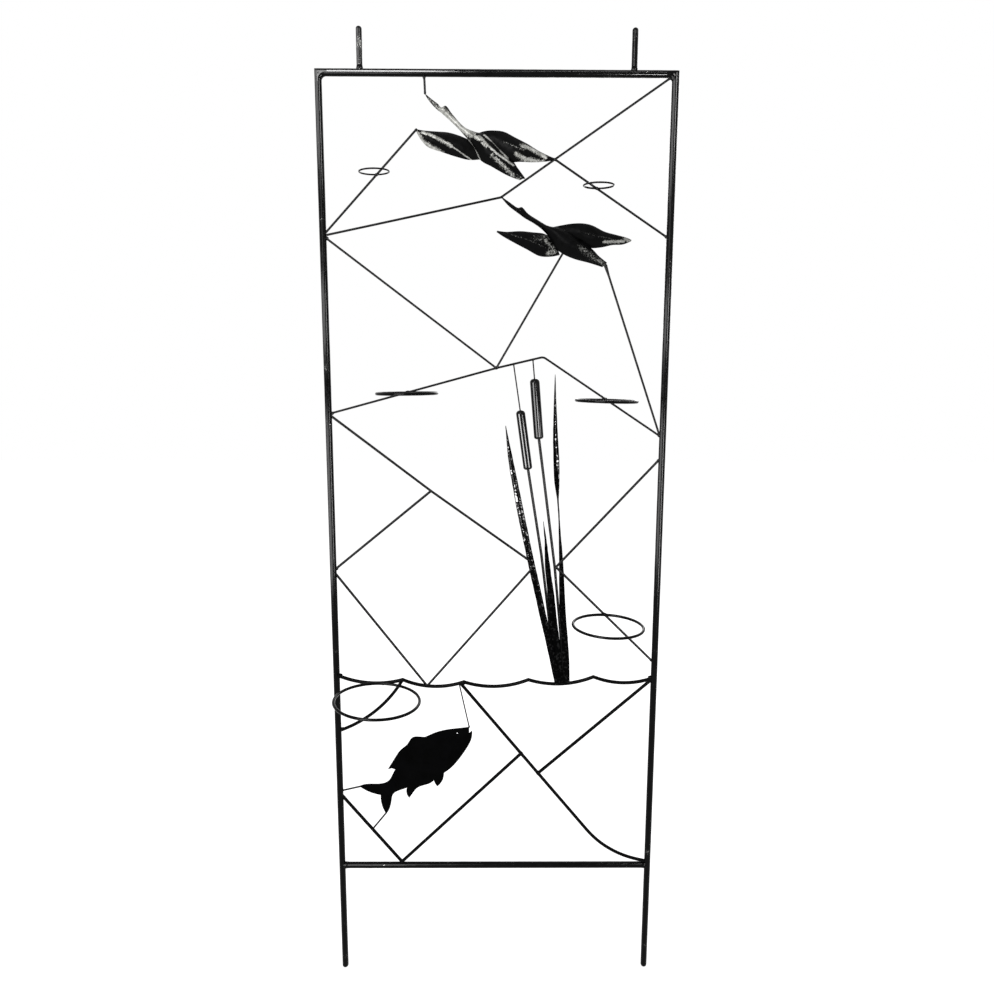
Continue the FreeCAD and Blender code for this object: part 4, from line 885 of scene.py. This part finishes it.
def buildWelds():
    rod, net, wire, stem = (netBars[name + "Radius"] for name in ("rod", "net", "wire", "stem"))
    bar = frameBars["radius"]
    rail = [(at("leftFoot") + Vector((bar, 0, 0)), 6.4, armsTo(bar, "rightFoot")),
            (at("rightFoot") - Vector((bar, 0, 0)), 6.4, armsTo(bar, "leftFoot") + armsTo(rod, "sweepBend"))]
    weldGroup("railWelds", ["left_rail_weld", "right_rail_weld"], rail, "frame_paint")
    prongFeet = []
    for sign in (-1, 1):
        foot = Vector((frameBars["prongX"] * sign, 0, welds["prongFootZ"]))
        prongFeet.append((foot, 5.6, [(foot + up, frameBars["prongRadius"])]))
    weldGroup("prongWelds", ["left_prong_weld", "right_prong_weld"], prongFeet, "frame_paint")
    # each joint: its knot or place, the ball's radius in mm, and the bars that leave it
    heavy = [
        (outOf("cornerTop", "cornerFoot"), 3.3, armsTo(rod, "cornerFoot")),
        (outOf("waveLeft", "waveTwo"), 3.4, armsTo(rod, ("waveTwo", 0, -20))),
        (outOf("shoreEnd", "shoreMiddle"), 3.5, armsTo(rod, ("shoreMiddle", 0, -12))),
        (outOf("waveRight", "waveFive"), 3.8, armsTo(rod, ("waveFive", 0, -20), "sweepRight")),
        (alongTo("cornerFoot", "cornerTop", 7.5), 3.9, armsTo(rod, "cornerTop")),
        ("sweepRising", 3.7, armsTo(rod, "risingFoot", "sweepTop", "sweepBend")),
        ("sweepRight", 3.7, armsTo(rod, "waveRight", "sweepTop", "sweepBend")),
        ("risingFoot", 3.9, armsTo(rod, "sweepRising", "cornerTop")),
        ("waveThree", 3.6, armsTo(rod, "sweepBend")),
        ("waveTwo", 3.6, armsTo(rod, ("shoreMiddle", 12, -12))),
        ("kiteFoot", 3.6, armsTo(net, "leftLow", "bladeLow")),
    ] + [(Vector(foot) * mm, 3.4, [(Vector(bend) * mm, stem)]) for foot, bend in welds["stemFeet"]]
    weldGroup("rodWelds", ["rod_welds"], heavy, "rod_paint")
    thin = [
        (outOf("leftMid", "heart"), 3.0, armsTo(net, "heart", "slopeBend")),
        (outOf("rightMid", "peak"), 3.1, armsTo(net, "peak", "lowerTail")),
        (outOf("leftHigh", "heart"), 3.2, armsTo(net, "heart", "cloudBend", "leftWingTip")),
        (outOf("rightHigh", "wingRodStart"), 2.9, armsTo(net, "wingRodStart")),
        (outOf("rightUpperV", "vPoint"), 2.9, armsTo(net, "vPoint")),
        (outOf("rightLowerV", "vPoint"), 2.9, armsTo(net, "vPoint")),
        (outOf("leftLow", "slopeBend"), 3.1, armsTo(net, "slopeBend", "kiteFoot")),
        (outOf("fishWirePost", "fishTail"), 1.9, armsTo(wire, "fishTail")),
        (at("beakTop") - up * bar, 2.9, armsTo(net, "upperBeak")),
        (alongTo("rightCorner", "cloudBend", 11), 3.0, armsTo(net, "cloudBend")),
        ("heart", 2.7, armsTo(net, "leftMid", "leftHigh", "lowerBelly", "peak")),
        ("slopeBend", 2.5, armsTo(net, "leftLow")),
        ("wingRodStart", 2.5, armsTo(net, "rightHigh")),
        ("bladeHigh", 2.4, armsTo(net, "slopeBend")),
        ("bladeLow", 2.4, armsTo(net, "kiteFoot")),
        ("vPoint", 2.4, armsTo(net, "rightUpperV", "rightLowerV")),
        ("leftTipTop", 2.2, armsTo(wire, "leftHead")),
        ("rightTipTop", 2.2, armsTo(wire, "rightHead")),
        ("upperBeak", 2.0, armsTo(net, "beakTop")),
        ("lowerBeak", 2.0, armsTo(net, "rightCorner")),
        ("leftWingTip", 2.1, armsTo(net, "leftHigh")),
        ("lowerBelly", 2.0, armsTo(net, "heart")),
        ("lowerTail", 2.6, [(at("tailRodEnd"), net, *welds["tailTaper"])] + armsTo(net, ("lowerTail", -20, 12))),
        ("fishMouth", 1.7, armsTo(wire, "fishWireTop")),
        ("fishTail", 1.7, armsTo(wire, "fishWirePost")),
        ("fishTailFoot", 1.7, armsTo(wire, "fishLow")),
        ("fishLow", 2.0, armsTo(wire, "fishTailFoot")),
    ]
    weldGroup("netWelds", ["net_welds"], thin, "net_paint")
    seats = []
    aside, ahead = welds["seatArm"]
    for node, (centre, radius, size, droop, lean, beside, above) in hoops.items():
        # the hoop's back touches the front of its bar
        tilt = math.radians(droop)
        back = math.sqrt(radius ** 2 - beside ** 2)
        seat = Vector((centre[0] + beside, centre[1] + (back + size * 0.5) * math.cos(tilt),
                       centre[2] + back * math.sin(tilt) + above))
        seats.append((seat * mm, welds["seatBall"] + size * 0.45,
                      [((seat + Vector((side * aside, ahead, 0))) * mm, size * mm) for side in (-1, 1)]))
    weldGroup("ringWelds", ["ring_welds"], seats, "ring_paint")
    print("welds done")


buildWelds()


studio = {
    "worldGrey": "#a8a8a8", "floorGrey": 0.9, "floorLift": 0.7, "floorZ": -0.17,
    # soft boxes: where, aimed at, width and height in metres, watts
    "softBoxes": {
        "frontBox": ((-0.8, -2.6, 2.0), (0, 0, 1.0), 1.4, 1.4, 42),
        "rearBox": ((0.8, 2.4, 1.9), (0, 0, 1.0), 1.2, 1.4, 22),
    },
    # tall panels, at the three heights that the bars show as streaks with dark gaps between
    "stripHeights": {"low": (0.24, 0.9), "middle": (1.14, 1.4), "high": (1.8, 2.35)},
    # where each column of them stands, its width and its radiance
    "stripColumns": {
        "farLeft": (-1.55, -0.75, 1.3, 24), "left": (-0.75, -1.45, 0.9, 24), "right": (0.9, -1.3, 0.35, 90),
    },
    # panels that light one leaf or cattail each: where they stand, height from and to, width, radiance and the piece.
    # They are broad, because a narrow one that is bright enough to show reflects as a broken line of dots
    "reedPanels": {
        "leftLeafGlint": (-0.65, -1.45, 0.3, 0.8, 0.4, 210, "leftLeaf"),
        "leftLeafSide": (0.9, -1.4, 0.5, 0.85, 0.5, 60, "leftLeaf"),
        "rightLeafGlint": (0.2, -1.5, 0.65, 1.1, 0.7, 180, "rightLeaf"),
        "leftHeadEdge": (-1.29, -1.3, 0.3, 1.0, 0.9, 75, "leftCattailHead"),
        "leftHeadLine": (1.05, -1.3, 0.5, 1.0, 0.6, 80, "leftCattailHead"),
        "rightHeadEdge": (-1.2, -1.3, 0.4, 1.1, 1.0, 32, "rightCattailHead"),
        "rightHeadLine": (0.445, -1.4, 0.5, 1.0, 0.4, 65, "rightCattailHead"),
        "rightHeadSide": (1.6, -1.2, 0.5, 0.98, 0.5, 32, "rightCattailHead"),
    },
    # where, width and height, radiance and the piece: tall panels for the rail's bright left half and its corner,
    # a low band and a small spark for its dark right half
    "railPanels": {
        "railPanel": ((-0.42, -1.1, 2.15), 0.54, 0.9, 170, "topRailBar"),
        "cornerPanel": ((-0.62, -1.1, 2.15), 0.5, 0.9, 45, "leftCornerWeld"),
        "railBand": ((0.42, -0.95, 2.5), 0.8, 0.08, 70, "topRailBar"),
        "railSpark": ((0.5, -1.1, 0.85), 0.1, 0.2, 300, "topRailBar"),
    },
    "railAimZ": 1.56,
}


def areaLamp(name, where, target, width, height, watts):
    lamp = addNew(bpy.ops.object.light_add, type="AREA", location=where)
    lamp.name = name
    lamp.data.shape = "RECTANGLE"
    lamp.data.size, lamp.data.size_y = width, height
    lamp.data.energy = watts
    lamp.visible_camera = False
    lamp.rotation_euler = (Vector(target) - Vector(where)).to_track_quat("-Z", "Y").to_euler()
    return lamp


def glossPanel(name, where, target, width, height, radiance, labels):
    # seen by the named pieces alone, and by their gloss alone
    panel = areaLamp(name, where, target, width, height, radiance * math.pi * width * height)
    panel.visible_diffuse = False
    group = bpy.data.collections.new(name + "Pieces")
    for label in labels:
        group.objects.link(bpy.data.objects[label])
    panel.light_linking.receiver_collection = group


def seenPlainly(tree):
    # 1 where the camera, a reflection or a glass sees it
    paths = addNode(tree, "ShaderNodeLightPath")
    seen = paths.outputs["Is Camera Ray"]
    for kind in ("Is Glossy Ray", "Is Transmission Ray"):
        seen = addNode(tree, "ShaderNodeMath", {0: seen, 1: paths.outputs[kind]}, operation="MAXIMUM").outputs[0]
    return seen


def buildStudio():
    world = bpy.data.worlds.new("paleStudio")
    bpy.context.scene.world = world
    world.use_nodes = True
    tree = world.node_tree
    tone = addNode(tree, "ShaderNodeMix", {"Factor": seenPlainly(tree), "A": hexToLinear(studio["worldGrey"]),
                                           "B": hexToLinear("#ffffff")}, data_type="RGBA")
    feed(tree, tree.nodes["Background"], {"Color": tone.outputs["Result"], "Strength": 1.0})

    floor = addNew(bpy.ops.mesh.primitive_plane_add, size=16, location=(0, 2, studio["floorZ"]))
    floor.name = "studioFloor"
    paper, tree, shader, _ = newFinish("paleStudioPaper")
    feed(tree, shader, {"Base Color": (*[studio["floorGrey"]] * 3, 1), "Roughness": 0.9, "Specular IOR Level": 0.0})
    lift = addNode(tree, "ShaderNodeMath", {0: seenPlainly(tree), 1: studio["floorLift"]}, operation="MULTIPLY")
    glow = addNode(tree, "ShaderNodeEmission", {"Color": hexToLinear("#ffffff"), "Strength": lift.outputs[0]})
    total = addNode(tree, "ShaderNodeAddShader", {0: shader.outputs[0], 1: glow.outputs[0]})
    feed(tree, tree.nodes["Material Output"], {"Surface": total.outputs[0]})
    floor.data.materials.append(paper)

    for name, (where, target, width, height, watts) in studio["softBoxes"].items():
        areaLamp(name, where, target, width, height, watts)
    shiny = [piece.name for piece in bpy.data.objects if piece.type == "MESH" and "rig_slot" in piece
             and piece["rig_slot"] in ("frame_paint", "prong_paint", "net_paint", "ring_paint")]
    # the right prong and the rings stay dark but for the left column
    plain = [name for name in shiny if name != "rightProngBar" and "Hoop" not in name]
    for rowName, (lowZ, highZ) in studio["stripHeights"].items():
        middle = (lowZ + highZ) / 2
        for columnName, (x, y, width, radiance) in studio["stripColumns"].items():
            glossPanel(columnName + rowName.title() + "Strip", (x, y, middle), (0, 0, middle), width, highZ - lowZ,
                       radiance, shiny if columnName == "left" else plain)
    for name, (x, y, lowZ, highZ, width, radiance, label) in studio["reedPanels"].items():
        middle = (lowZ + highZ) / 2
        glossPanel(name, (x, y, middle), (0.1, 0, middle), width, highZ - lowZ, radiance, [label])
    for name, (where, width, height, radiance, label) in studio["railPanels"].items():
        glossPanel(name, where, (where[0], 0, studio["railAimZ"]), width, height, radiance, [label])


# the photo's viewpoint: its place in metres, its turns in degrees, and the lens as pixels of the frame's width
photoView = {
    "place": (-0.0073, -1.3903, 1.0277), "yaw": 0.380, "pitch": 8.738, "roll": 0.168,
    "lensPixels": 749.5, "framePixels": 995, "sensorMm": 36,
}


def placeCamera():
    camera = addNew(bpy.ops.object.camera_add, location=photoView["place"])
    yaw, pitch, roll = (math.radians(photoView[name]) for name in ("yaw", "pitch", "roll"))
    turn = Matrix.Rotation(-yaw, 4, "Z") @ Matrix.Rotation(math.pi / 2 - pitch, 4, "X") @ Matrix.Rotation(roll, 4, "Z")
    camera.rotation_euler = turn.to_euler()
    camera.data.lens = photoView["sensorMm"] * photoView["lensPixels"] / photoView["framePixels"]
    bpy.context.scene.camera = camera
    bpy.context.scene.view_settings.view_transform = "Standard"


buildStudio()
placeCamera()
print("studio and camera ready, pieces made:", pieceCount)
